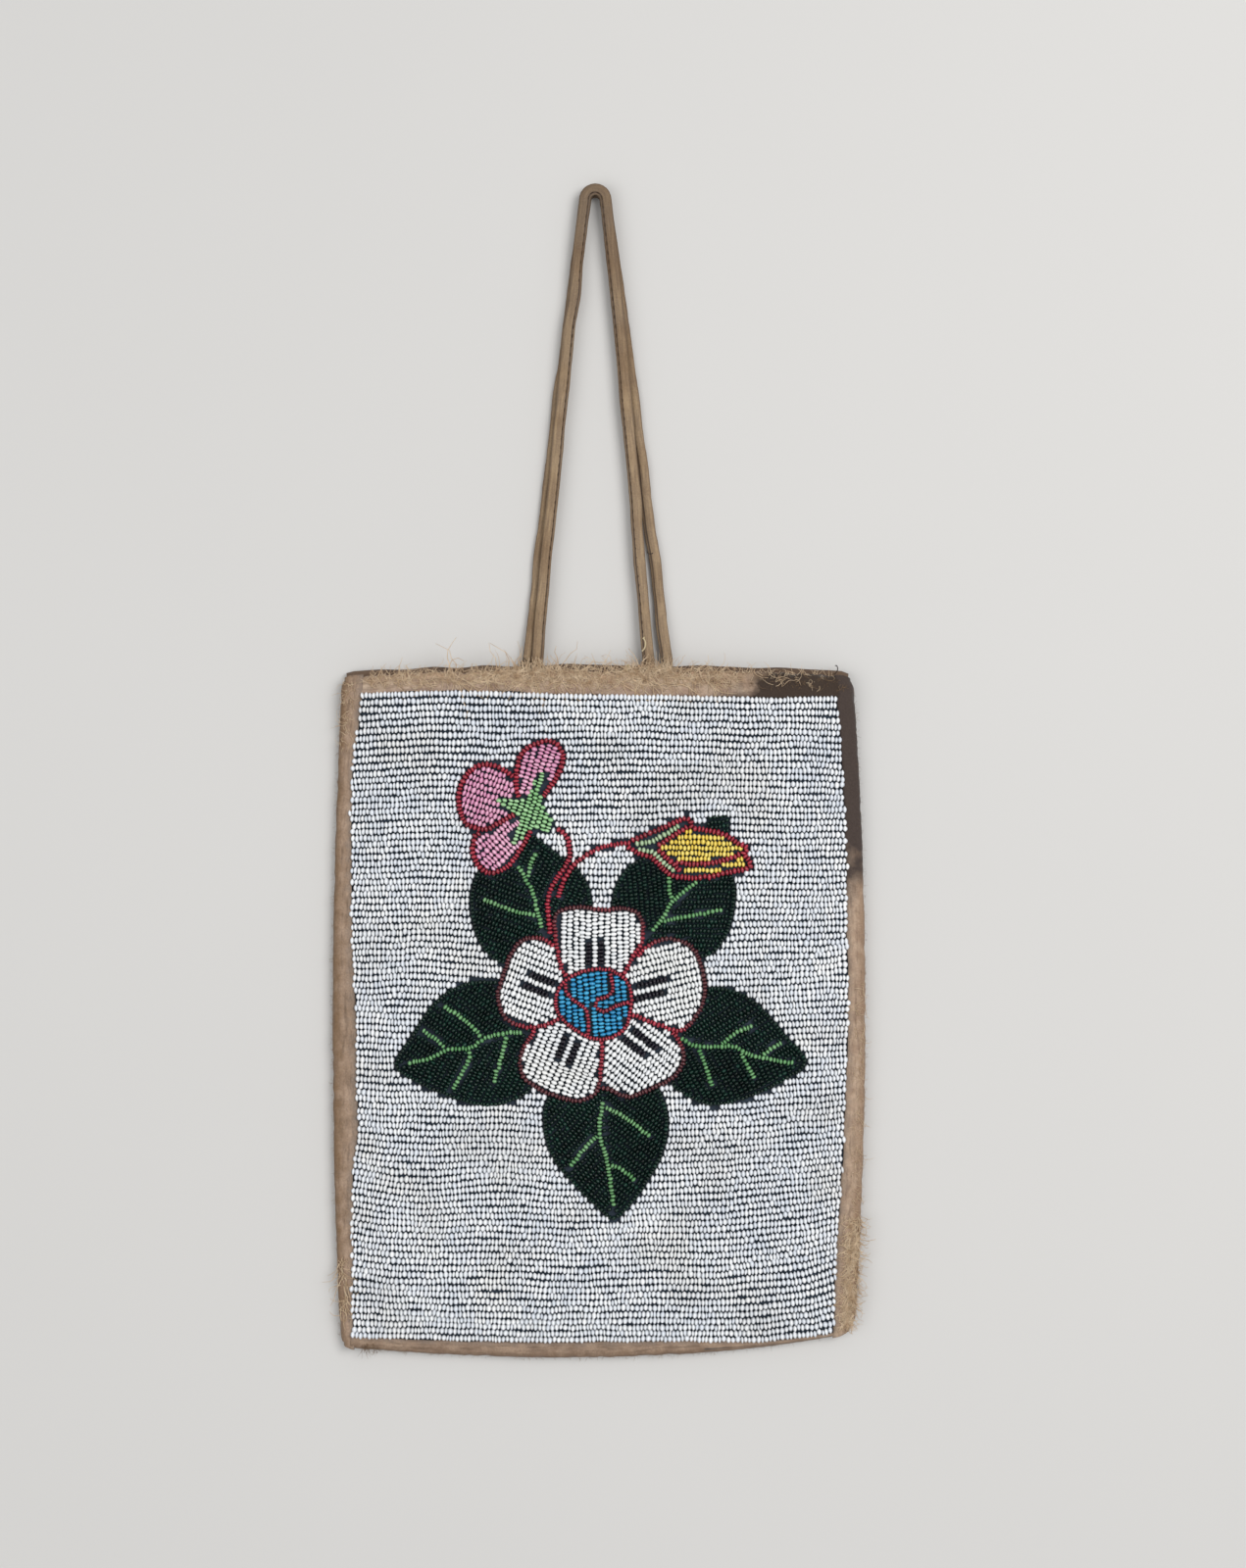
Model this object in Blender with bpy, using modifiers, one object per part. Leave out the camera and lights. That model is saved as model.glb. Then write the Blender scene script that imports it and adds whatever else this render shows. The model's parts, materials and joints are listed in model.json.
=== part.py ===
"""Flat beaded bag with two narrow straps, lying on its back.

+X is the bag's right as the beads face up, +Y runs from the bottom seam to the straps, and +Z
comes out of the beadwork. The origin is at the middle of the pouch, on the surface it lies on.
The beads are strings stitched flat to the front cloth, so each field of one colour is a plate
with a ridge for every string.
"""

import math

import bmesh
import bpy
from mathutils import Vector

# Pouch outline
TOP_WIDTH = 0.1710
BOTTOM_WIDTH = 0.1720
SIDE_HEIGHT = 0.2245
LEFT_SWELL = 0.0030
RIGHT_SWELL = 0.0040
TOP_ARCH = 0.0023
BOTTOM_SAG = 0.0026
RIGHT_CORNER_LIFT = 0.0050

# Cloth and hide
BACK_CLOTH = 0.0010
FRONT_CLOTH = 0.0010
STRIP_CLOTH = 0.0008
SIDE_STRIP = 0.0070
BOTTOM_STRIP = 0.0054
HEM_DEPTH = 0.0088
BACK_REACH = 0.0016
MOUTH_HEIGHT = 0.0047
SHOULDER = 0.0100
CORNER_RAMP = 0.0150
BACK_SLOPE = 0.0080
GAP = 0.0003

# Straps
STRAP_WIDTH = 0.0039
STRAP_THICKNESS = 0.0026
STRAP_RISE = 0.1622
STRAP_TUCK = 0.0080
STRAP_SETTLE = 0.0300
FRONT_FEET = 0.0374
BACK_FEET = 0.0466
FRONT_FEET_SHIFT = -0.0016
LOOP_RADIUS = 0.0034
LOOP_SHIFT = -0.0008

# Beads on their strings
BEAD = 0.0021
ROW_PITCH = 0.0021
VALLEY = 0.0011
VEIN_STRING = 0.0016
SIDE_VEIN = 0.0014
GROOVE_FLOOR = 0.0005

# Clear ground around the flowers, from the edge of the beads
LEFT_CLEAR = 0.0131
RIGHT_CLEAR = 0.0120
TOP_CLEAR = 0.0145
BOTTOM_CLEAR = 0.0405

# Drawing of the flowers in millimetres from the rose, at the size of this bag
PETALS = {
    "top": ((-9, 13), (-12, 20), (-13, 28), (-12.5, 34), (-5.5, 36), (2.5, 35), (10, 35.5),
            (15, 33), (16, 25.5), (13, 20), (8, 12), (0, 8)),
    "left": ((-4, 13), (-12, 21.5), (-17, 25.5), (-24, 25), (-28, 20), (-30, 14), (-32, 8),
             (-31, 2), (-27.5, -2), (-20, -3.5), (-12, -1), (-4, 4)),
    "right": ((5, 13), (12, 17.5), (18, 23.5), (25, 25.5), (32, 23), (35.5, 16), (36.5, 8),
              (34.5, 1.5), (29, -4.5), (22, -3), (14, 0), (5, 3)),
    "lower_left": ((-4, 0), (-16, 0), (-21, -6.5), (-24.5, -13), (-23.5, -20), (-17, -24.5),
                   (-10, -27), (-4, -27.5), (1, -24), (2.2, -16), (2, -8)),
    "lower_right": ((-2, -4), (-2, -13), (-1, -21), (6, -24.5), (11.5, -26.5), (18, -24),
                    (26, -20), (29.5, -14), (27.5, -7.5), (20, 0), (8, 2)),
}
PETAL_STRINGS = {"top": 90, "left": -22, "right": 14, "lower_left": 68, "lower_right": -38}
STAMENS = (
    ("top", ((-2.5, 23), (-1.8, 18.5))),
    ("top", ((2.5, 23.5), (2.5, 18.5))),
    ("left", ((-20, 14), (-14.5, 11.5))),
    ("left", ((-22.5, 9), (-16.5, 7.5))),
    ("right", ((15, 10.3), (22.5, 12))),
    ("right", ((15, 5.5), (22, 8))),
    ("lower_left", ((-10, -8), (-12, -12.5))),
    ("lower_left", ((-6, -10), (-8, -14.5))),
    ("lower_right", ((13.5, -5.5), (19.5, -10))),
    ("lower_right", ((11, -8), (16, -12))),
)
CENTRE = ((-8, 13), (0, 15.5), (7, 14.5), (11.5, 10), (12, 2.5), (9, -5), (1, -7.5), (-7, -4),
          (-12.5, 2), (-12, 8.5))
CURLS = {
    "left": ((-7.2, 9.5), (-6, 6), (-3, 3), (-1.8, 0), (-1.6, -4)),
    "right": ((5.2, 11.8), (5.6, 8.5), (3.2, 6), (2.2, 4), (4.2, 3), (8, 4.6)),
}
LEAVES = {
    "left": ((-66.5, -16), (-61, -6.5), (-53.5, 4.5), (-44.5, 10.5), (-34, 12), (-26, 8),
             (-20, -3), (-20, -14), (-21, -24), (-28.5, -28.5), (-38, -29.5), (-50, -26),
             (-60, -21.5)),
    "right": ((70.5, -15.5), (63.5, -6), (54.5, 4), (46, 9), (37, 9.5), (30, 4), (26, -5),
              (24, -14), (25, -22), (30.5, -26.5), (38.5, -29.5), (48, -28), (59, -23.5)),
    "bottom": ((-16, -27), (-17, -37), (-14.5, -46), (-8, -54.5), (0, -62.5), (6, -67),
               (11.5, -63), (20, -51), (24, -40.5), (24, -30), (19, -21), (6, -18), (-8, -20)),
    "upper_left": ((-23, 60.5), (-14, 55), (-5, 48), (-1, 40), (-2, 31), (-8, 23), (-18, 16),
                   (-29, 16.5), (-37, 22), (-41, 32), (-40.5, 44), (-34, 54)),
    "upper_right": ((13, 51), (8, 45.5), (5.5, 37), (8, 30), (14, 23), (22, 19), (31, 19),
                    (38.5, 20), (44, 26.5), (46.5, 36), (46, 46), (38, 53), (24, 54.5)),
}
LEAF_AXES = {
    "left": ((-21, -5), (-66, -16)),
    "right": ((27, -6), (70, -16)),
    "bottom": ((3, -22), (6.5, -67)),
    "upper_left": ((-15, 24), (-27, 54)),
    "upper_right": ((17, 25), (37, 47)),
}
LEAF_FOLD = 48
RIBS = {
    "left": ((-24, -5), (-32.5, -6), (-37, -7.5), (-41.5, -10.5), (-49, -11), (-55, -14),
             (-62, -15.3)),
    "right": ((28.5, -7), (33, -9.5), (37, -10), (46, -10), (50, -12), (57, -14), (66, -15.2)),
    "bottom": ((3, -28), (1.7, -34), (2, -40.5), (4, -47), (5.2, -54), (6.3, -62.5)),
    "upper_left": ((-17.5, 29), (-19, 35), (-21, 42), (-25.5, 49.5)),
    "upper_right": ((19, 28), (23, 33), (26, 38), (34, 44.5)),
}
VEINS = {
    "left": (((-37, -7.5), (-41.5, -2.5), (-50, 3.5)), ((-49, -11), (-52, -8), (-57, -4.5)),
             ((-41.5, -10.5), (-42, -15), (-47, -24)), ((-29, -5.5), (-30.5, -12), (-33.5, -22))),
    "right": (((41, -10), (46, -6), (52.5, -3)), ((55, -13.5), (58, -11), (62, -8.5)),
              ((34, -9.7), (36.5, -16), (39, -23)), ((47.5, -10.5), (50, -15), (53, -20.5))),
    "bottom": (((2.6, -29.5), (9, -32.5), (18.5, -39.5)), ((2, -38.5), (-3.5, -43.5),
               (-8, -49.5)), ((4.4, -48.5), (9, -50.5), (13.5, -54))),
    "upper_left": (((-22.3, 44.5), (-21.5, 49), (-19.5, 54)), ((-18.5, 33), (-26, 34.5),
                   (-37, 38.5))),
    "upper_right": (((25.8, 37.5), (24.8, 42), (24.5, 46)), ((21.5, 31), (30, 32.8), (42.5, 35))),
}
TIP_LEAF = ((37, 63), (38, 65.5), (44, 66), (44.5, 61), (41, 56), (36, 56))
STEMS = {
    "left": ((-12.5, 62), (-9.5, 59.5), (-8.3, 55), (-9, 50.5), (-14, 43), (-15.5, 36.5),
             (-14.5, 27)),
    "right": ((-12, 39), (-10.5, 44), (-6.3, 50.5), (1, 55), (7, 56.6), (12, 57)),
}
PINK_PETALS = {
    "upper": ((-25, 72), (-26, 79), (-24.5, 86), (-20, 89.5), (-14, 90.5), (-10.5, 86.5),
              (-11.5, 81), (-15, 75), (-21, 68.5)),
    "middle": ((-23, 73), (-28.5, 80), (-36, 83), (-42.5, 79.5), (-45, 71.5), (-43, 64),
               (-37, 61.5), (-31, 64), (-25, 68)),
    "lower": ((-27, 66), (-34, 63), (-39.5, 59), (-40, 52.5), (-36, 47.5), (-30, 48.5), (-25, 54),
              (-21, 63)),
}
PINK_STRINGS = {"upper": 72, "middle": -20, "lower": 42}
CALYX = ((-19.5, 79), (-16, 80.2), (-17.2, 74), (-16.5, 68.5), (-13.2, 64), (-15.5, 60.5),
         (-21, 61.5), (-26, 56.5), (-28.2, 58.8), (-25, 65), (-32, 70), (-31, 72), (-24.5, 71.5),
         (-21.3, 74))
BUD = ((10.8, 57), (16, 59.8), (24, 63), (31, 65.5), (36, 62), (45, 58.8), (51, 55.5),
       (51.5, 49.8), (44, 47.3), (34, 45.6), (25, 46.8), (19, 52.2), (14, 53.8))
BUD_CALYX = (((13.8, 56.8), (19, 57.6), (24, 60.6), (29, 62.8)), ((14.5, 56.3), (19, 55),
             (22.5, 51.6), (26, 48.9)))
BUD_INNER = (((21, 56.4), (25, 58), (30.5, 61.5)), ((21.2, 56), (25, 53), (29, 49.6)))
BUD_ACROSS = ((29.5, 52.6), (37, 50.8), (43.5, 52.4), (48, 54.2))

OUTLINE_STEPS = 2
STRING_STEPS = 2
TUBE_ROUNDNESS = 0

# Levels that the layers take
PLATEAU = BACK_CLOTH + MOUTH_HEIGHT + STRIP_CLOTH + GAP
SEAM_SEAT = STRIP_CLOTH + GAP + BACK_CLOTH + GAP
HEM_ROOM = STRIP_CLOTH + GAP
EDGE = STRIP_CLOTH + GAP
FIELD_SIDE = SIDE_STRIP + GAP
FIELD_BOTTOM = BOTTOM_STRIP + GAP
FIELD_TOP = HEM_DEPTH + GAP
BEAD_BASE = PLATEAU + FRONT_CLOTH + GAP
STRAP_SIDES = 6
STRAP_HALF = STRAP_THICKNESS / 2 * math.sin(2 * math.pi / STRAP_SIDES)
TALL = BEAD * 4
FLAT = math.radians(0.4)
LEAST_BEND = math.radians(16)

COLOURS = {
    "suede": ((0.37, 0.25, 0.16), 0.95),
    "ground_cloth": ((0.03, 0.04, 0.05), 0.95),
    "hide": ((0.20, 0.13, 0.07), 0.8),
    "white_beads": ((0.72, 0.76, 0.80), 0.3),
    "cream_beads": ((0.80, 0.79, 0.74), 0.3),
    "red_beads": ((0.27, 0.02, 0.03), 0.25),
    "blue_beads": ((0.02, 0.26, 0.48), 0.25),
    "dark_beads": ((0.015, 0.01, 0.02), 0.25),
    "green_beads": ((0.01, 0.03, 0.025), 0.2),
    "vein_beads": ((0.11, 0.33, 0.11), 0.3),
    "calyx_beads": ((0.27, 0.62, 0.22), 0.3),
    "pale_beads": ((0.40, 0.55, 0.32), 0.3),
    "pink_beads": ((0.66, 0.26, 0.44), 0.3),
    "yellow_beads": ((0.74, 0.54, 0.05), 0.3),
}


# Scene, collections and materials

def clear_scene():
    for obj in list(bpy.data.objects):
        bpy.data.objects.remove(obj, do_unlink=True)


def new_collection(name):
    collection = bpy.data.collections.new(name)
    bpy.context.scene.collection.children.link(collection)
    return collection


def material(name):
    """The Principled material of this name, made the first time it is asked for."""
    found = bpy.data.materials.get(name)
    if found:
        return found
    colour, roughness = COLOURS[name]
    found = bpy.data.materials.new(name)
    found.use_nodes = True
    shader = found.node_tree.nodes["Principled BSDF"]
    shader.inputs["Base Color"].default_value = (*colour, 1)
    shader.inputs["Roughness"].default_value = roughness
    shader.inputs["Metallic"].default_value = 0
    found.diffuse_color = (*colour, 1)
    return found


def mesh_object(name, bm, collection):
    mesh = bpy.data.meshes.new(name)
    bmesh.ops.recalc_face_normals(bm, faces=bm.faces)
    bm.to_mesh(mesh)
    bm.free()
    obj = bpy.data.objects.new(name, mesh)
    collection.objects.link(obj)
    return obj


def settle(obj):
    """Bakes the object's modifiers, or its curve, into a plain mesh object of the same name."""
    bpy.context.view_layer.update()
    evaluated = obj.evaluated_get(bpy.context.evaluated_depsgraph_get())
    mesh = bpy.data.meshes.new_from_object(evaluated)
    mesh.transform(obj.matrix_world)
    bm = bmesh.new()
    bm.from_mesh(mesh)
    bmesh.ops.remove_doubles(bm, verts=bm.verts, dist=1e-6)
    name, collection = obj.name, obj.users_collection[0]
    bpy.data.objects.remove(obj, do_unlink=True)
    return mesh_object(name, bm, collection)


def paint(obj, name):
    obj.data.materials.append(material(name))
    return obj


def boolean(obj, other, operation):
    modifier = obj.modifiers.new(operation.lower(), "BOOLEAN")
    modifier.solver = "EXACT"
    modifier.use_self = True
    modifier.operation = operation
    modifier.object = other


# Outline of the pouch. A place is told by its distance c from the left edge and its distance r
# from the bottom edge, both measured on the flat cloth.

def place(c, r):
    u = c / TOP_WIDTH
    v = r / SIDE_HEIGHT
    bow = 4 * v * (1 - v)
    spread = (BOTTOM_WIDTH - TOP_WIDTH) * (1 - v) / 2
    left = -spread - LEFT_SWELL * bow
    right = spread + RIGHT_SWELL * bow
    bottom = -BOTTOM_SAG * 4 * u * (1 - u) + RIGHT_CORNER_LIFT * u ** 4
    top = TOP_ARCH * 4 * u * (1 - u)
    x = c - TOP_WIDTH / 2 + left * (1 - u) + right * u
    y = r - SIDE_HEIGHT / 2 + bottom * (1 - v) + top * v
    return x, y


def share(distance, start, length):
    """How far distance is along a slope that begins at start, from 0 to 1."""
    return min(max((distance - start) / length, 0), 1)


def from_side(c):
    return min(c, TOP_WIDTH - c)


def front_level(c, r):
    """Height of the underside of the front cloth."""
    seat = SEAM_SEAT + HEM_ROOM * share(r, SIDE_HEIGHT - CORNER_RAMP, CORNER_RAMP - FIELD_TOP)
    rise = share(from_side(c), FIELD_SIDE, SHOULDER) * share(r, FIELD_BOTTOM, SHOULDER)
    return seat + (PLATEAU - seat) * rise


def back_level(c, r):
    """Height of the underside of the back cloth, which rises where the strips pass under it."""
    flat = share(from_side(c), SIDE_STRIP, BACK_SLOPE) * share(r, BOTTOM_STRIP, BACK_SLOPE)
    return (STRIP_CLOTH + GAP) * (1 - flat)


def strip_top(c, r):
    """Height of the outer face of a strip that lies on the front cloth."""
    return front_level(c, r) + FRONT_CLOTH + GAP + STRIP_CLOTH


def steps(low, high, count):
    return [low + (high - low) * i / count for i in range(count + 1)]


def mirrored(side):
    return side + [TOP_WIDTH - c for c in reversed(side)]


# Sheets and strips

def sheet(columns, rows, level, thickness):
    """A cloth that follows level(c, r), as thick as it says measured upwards."""
    bm = bmesh.new()
    bmesh.ops.create_grid(bm, x_segments=len(columns) - 1, y_segments=len(rows) - 1, size=1)
    for vert in bm.verts:
        c = columns[round((vert.co.x + 1) / 2 * (len(columns) - 1))]
        r = rows[round((vert.co.y + 1) / 2 * (len(rows) - 1))]
        vert.co = (*place(c, r), level(c, r))
    bmesh.ops.triangulate(bm, faces=bm.faces, quad_method="SHORT_EDGE")
    made = bmesh.ops.extrude_face_region(bm, geom=bm.faces)
    raised = [item for item in made["geom"] if isinstance(item, bmesh.types.BMVert)]
    bmesh.ops.translate(bm, verts=raised, vec=(0, 0, thickness))
    return bm


def field_rows():
    """The lines across the front at which its level changes, from the bottom of the beads up."""
    slope = steps(FIELD_BOTTOM, FIELD_BOTTOM + SHOULDER, 1)
    middle = steps(FIELD_BOTTOM + SHOULDER, SIDE_HEIGHT - CORNER_RAMP, 4)
    return slope + middle[1:] + [SIDE_HEIGHT - FIELD_TOP]


def folded_strip(name, along, inward, low, high, depth):
    """A strip folded over an edge.

    along is a list of places on the edge, inward turns such a place and a depth into the place
    that deep, and low and high give the bottom and top of the fold at a place.
    """
    half = STRIP_CLOTH / 2
    fold = ((depth, 0), (half * 1.4, 0), (half, 0.5), (half * 1.4, 1), (depth, 1))
    bm = bmesh.new()
    bmesh.ops.create_grid(bm, x_segments=len(along) - 1, y_segments=len(fold) - 1, size=1)
    for vert in bm.verts:
        spot = along[round((vert.co.x + 1) / 2 * (len(along) - 1))]
        deep, up = fold[round((vert.co.y + 1) / 2 * (len(fold) - 1))]
        bottom = low(*spot) + half
        top = high(*spot) - half
        vert.co = (*place(*inward(spot, deep)), bottom + (top - bottom) * up)
    obj = mesh_object(name, bm, bag)
    wall = obj.modifiers.new("wall", "SOLIDIFY")
    wall.thickness = STRIP_CLOTH
    wall.offset = 0
    wall.use_even_offset = True
    return paint(settle(obj), "suede")


def build_pouch():
    columns = mirrored([EDGE, FIELD_SIDE, FIELD_SIDE + SHOULDER])
    rows = [EDGE] + field_rows() + [SIDE_HEIGHT - EDGE]
    front = sheet(columns, rows, front_level, FRONT_CLOTH)
    paint(mesh_object("front_panel", front, bag), "ground_cloth")

    columns = mirrored([EDGE, SIDE_STRIP, SIDE_STRIP + BACK_SLOPE])
    rows = [EDGE] + steps(BOTTOM_STRIP, BOTTOM_STRIP + BACK_SLOPE, 1)
    rows += steps(BOTTOM_STRIP + BACK_SLOPE, SIDE_HEIGHT + BACK_REACH, 4)[1:]
    back = sheet(columns, rows, back_level, BACK_CLOTH)
    paint(mesh_object("back_panel", back, bag), "suede")


def build_strips():
    heights = [0] + field_rows() + [SIDE_HEIGHT]

    def floor(c, r):
        return 0

    folded_strip("binding_left", [(0, r) for r in heights], lambda spot, deep: (deep, spot[1]),
                 floor, strip_top, SIDE_STRIP)
    folded_strip("binding_right", [(TOP_WIDTH, r) for r in heights],
                 lambda spot, deep: (TOP_WIDTH - deep, spot[1]), floor, strip_top, SIDE_STRIP)
    across = steps(FIELD_SIDE, TOP_WIDTH - FIELD_SIDE, 6)
    folded_strip("binding_bottom", [(c, 0) for c in across], lambda spot, deep: (spot[0], deep),
                 floor, strip_top, BOTTOM_STRIP)
    across = [FIELD_SIDE] + steps(FIELD_SIDE + SHOULDER, TOP_WIDTH - FIELD_SIDE - SHOULDER, 6)
    across.append(TOP_WIDTH - FIELD_SIDE)
    folded_strip("hem_front", [(c, SIDE_HEIGHT) for c in across],
                 lambda spot, deep: (spot[0], SIDE_HEIGHT - deep),
                 lambda c, r: front_level(c, r) - GAP - STRIP_CLOTH, strip_top, HEM_DEPTH)


# Straps

def strap(name, feet, shift, foot_level, lie_level):
    """An oval strap from one foot, up round the loop and down to the other foot.

    The feet stand apart by feet and reach into the mouth. The strap keeps to foot_level until it
    is past the edge of the back cloth, and then comes down to lie_level.
    """
    middle = TOP_WIDTH / 2
    loop_y = place(middle, SIDE_HEIGHT)[1] + STRAP_RISE - LOOP_RADIUS - STRAP_WIDTH / 2
    mouth_y = place(middle + feet / 2, SIDE_HEIGHT)[1]
    clear_y = mouth_y + BACK_REACH + GAP
    legs = {}
    for side in (-1, 1):
        foot = Vector((shift + side * feet / 2, clear_y))
        top = Vector((LOOP_SHIFT + side * LOOP_RADIUS, loop_y))
        legs[side] = [Vector((foot.x, mouth_y - STRAP_TUCK))]
        legs[side] += [foot.lerp(top, part) for part in (0, 0.09, 0.22)]
    turn = [Vector((LOOP_SHIFT + math.cos(a) * LOOP_RADIUS, loop_y + math.sin(a) * LOOP_RADIUS))
            for a in steps(math.pi, 0, 6)]
    route = legs[-1] + turn + legs[1][::-1]
    bm = bmesh.new()
    rings = []
    for i, spot in enumerate(route):
        ahead = route[min(i + 1, len(route) - 1)] - route[max(i - 1, 0)]
        out = Vector((ahead.y, -ahead.x)).normalized() * STRAP_WIDTH / 2
        if i in (0, len(route) - 1):
            out = Vector((math.copysign(STRAP_WIDTH / 2, out.x), 0))
        fall = share(spot.y, clear_y, STRAP_SETTLE)
        level = foot_level + (lie_level - foot_level) * fall * fall * (3 - 2 * fall)
        ring = []
        for a in steps(0, 2 * math.pi, STRAP_SIDES)[:-1]:
            edge = spot + out * math.cos(a)
            ring.append(bm.verts.new((edge.x, edge.y, level + math.sin(a) * STRAP_THICKNESS / 2)))
        rings.append(ring)
    for one, other in zip(rings, rings[1:]):
        for i, vert in enumerate(one):
            after = (i + 1) % len(one)
            bm.faces.new((vert, one[after], other[after], other[i]))
    bm.faces.new(rings[0])
    bm.faces.new(rings[-1])
    paint(mesh_object(name, bm, bag), "hide")


def build_straps():
    """The back strap is sewn to the back cloth inside the mouth and the front one to the hem."""
    over = STRAP_HALF * 3 + GAP
    strap("strap_back", BACK_FEET, 0, BACK_CLOTH + GAP + STRAP_HALF, STRAP_HALF)
    strap("strap_front", FRONT_FEET, FRONT_FEET_SHIFT, PLATEAU - HEM_ROOM - GAP - STRAP_HALF, over)


# Lines and outlines on the plateau

def drawing_span():
    """Lowest and highest x and y of the drawing."""
    shapes = [*PETALS.values(), *LEAVES.values(), *PINK_PETALS.values(), BUD, TIP_LEAF]
    across = [x for shape in shapes for x, y in shape]
    up = [y for shape in shapes for x, y in shape]
    return min(across), max(across), min(up), max(up)


def laid(points):
    """The drawing's points at their places on the bag, with the clear ground around them."""
    low_x, high_x, low_y, high_y = drawing_span()
    left = place(FIELD_SIDE + LEFT_CLEAR, SIDE_HEIGHT / 2)[0]
    right = place(TOP_WIDTH - FIELD_SIDE - RIGHT_CLEAR, SIDE_HEIGHT / 2)[0]
    bottom = place(TOP_WIDTH / 2, FIELD_BOTTOM + BOTTOM_CLEAR)[1]
    top = place(TOP_WIDTH / 2, SIDE_HEIGHT - FIELD_TOP - TOP_CLEAR)[1]
    return [Vector((left + (right - left) * (x - low_x) / (high_x - low_x),
                    bottom + (top - bottom) * (y - low_y) / (high_y - low_y))) for x, y in points]


def smooth(points, closed, pieces):
    """Points along the smooth curve through the given ones, with so many pieces to a span."""
    count = len(points)

    def at(i):
        return points[i % count] if closed else points[min(max(i, 0), count - 1)]

    line = []
    for i in range(count if closed else count - 1):
        before, start, end, after = at(i - 1), at(i), at(i + 1), at(i + 2)
        for t in steps(0, 1, pieces)[:-1]:
            bend = (2 * before - 5 * start + 4 * end - after) * t ** 2
            bend += (3 * start - before - 3 * end + after) * t ** 3
            line.append(start + ((end - before) * t + bend) / 2)
    return line if closed else line + [points[-1]]


def without_straights(loop):
    """The closed outline without the points at which it hardly bends."""
    kept = [loop[0]]
    for point, after in zip(loop[1:], loop[2:] + loop[:1]):
        if (point - kept[-1]).angle(after - point) > LEAST_BEND:
            kept.append(point)
    return kept


def outline(points):
    """A smooth closed outline through the drawing's points, turning to the left."""
    loop = without_straights(smooth(laid(points), True, OUTLINE_STEPS))
    turning = sum(a.cross(b) for a, b in zip(loop, loop[1:] + loop[:1]))
    return loop if turning > 0 else loop[::-1]


def off_loop(point, loop):
    """Distance from a point to the closed outline."""
    least = math.inf
    for start, end in zip(loop, loop[1:] + loop[:1]):
        along = end - start
        part = min(max((point - start).dot(along) / along.length_squared, 0), 1)
        least = min(least, (point - start - along * part).length)
    return least


def grown(loop, distance):
    """The outline moved outwards by distance, or inwards where it is negative.

    A point that comes too near another stretch of the outline would cross it, so it is left out.
    """
    moved = []
    for before, point, after in zip(loop[-1:] + loop[:-1], loop, loop[1:] + loop[:1]):
        first = (point - before).normalized()
        second = (after - point).normalized()
        out = Vector((first.y + second.y, -first.x - second.x)).normalized()
        moved.append(point + out * distance / max(out.dot(Vector((first.y, -first.x))), 0.35))
    return [point for point in moved if off_loop(point, loop) > abs(distance) * 0.97]


def ribbon(line, half, overrun):
    """The outline of a band along an open line, half its width each side and longer at both ends."""
    line = list(line)
    line[0] = line[0] + (line[0] - line[1]).normalized() * overrun
    line[-1] = line[-1] + (line[-1] - line[-2]).normalized() * overrun
    sides = {1: [], -1: []}
    for i, point in enumerate(line):
        ahead = line[min(i + 1, len(line) - 1)] - line[max(i - 1, 0)]
        out = Vector((ahead.y, -ahead.x)).normalized() * half
        for side, points in sides.items():
            points.append(point + out * side)
    return sides[1] + sides[-1][::-1]


# Solids of beads

def prism(name, loop, low=BEAD_BASE - TALL, high=BEAD_BASE + TALL):
    """The outline as an upright cutter from low to high."""
    curve = bpy.data.curves.new(name, "CURVE")
    curve.dimensions = "2D"
    curve.fill_mode = "BOTH"
    curve.extrude = (high - low) / 2
    spline = curve.splines.new("POLY")
    spline.points.add(len(loop) - 1)
    for point, spot in zip(spline.points, loop):
        point.co = (spot.x, spot.y, 0, 1)
    spline.use_cyclic_u = True
    obj = bpy.data.objects.new(name, curve)
    obj.location.z = (low + high) / 2
    cutters.objects.link(obj)
    return as_cutter(settle(obj))


def as_cutter(obj):
    obj.hide_render = True
    obj.display_type = "WIRE"
    return obj


def string(name, line, closed, level, diameter):
    """One string of beads along a line, its middle at this level."""
    curve = bpy.data.curves.new(name, "CURVE")
    curve.dimensions = "3D"
    curve.bevel_depth = diameter / 2
    curve.bevel_resolution = TUBE_ROUNDNESS
    curve.use_fill_caps = True
    spline = curve.splines.new("POLY")
    spline.points.add(len(line) - 1)
    for point, spot in zip(spline.points, line):
        point.co = (spot.x, spot.y, level, 1)
    spline.use_cyclic_u = closed
    obj = bpy.data.objects.new(name, curve)
    bag.objects.link(obj)
    return settle(obj)


def strung_plate(name, middle, direction, reach, fold):
    """Strings side by side, each one a ridge, which fold forwards from the middle line.

    direction is the way the rows follow each other, and fold is the angle that the strings make
    with it on both sides, so 90 degrees gives straight strings.
    """
    pitch = ROW_PITCH / math.sin(fold)
    count = 2 * math.ceil(reach * 1.4 / pitch)
    bm = bmesh.new()
    bmesh.ops.create_grid(bm, x_segments=1 if fold > math.radians(89) else 2, y_segments=1, size=1)
    rib_lines(bm, [(-1, 1, count)], VALLEY, BEAD)
    ahead = Vector((math.cos(direction), math.sin(direction)))
    aside = Vector((ahead.y, -ahead.x))
    for vert in bm.verts:
        across = vert.co.x * reach
        along = vert.co.y * count * pitch / 2 + (abs(across) - reach / 2) / math.tan(fold)
        spot = middle + ahead * along + aside * across
        vert.co = (spot.x, spot.y, BEAD_BASE + vert.co.z)
    return mesh_object(name, bm, bag)


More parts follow.
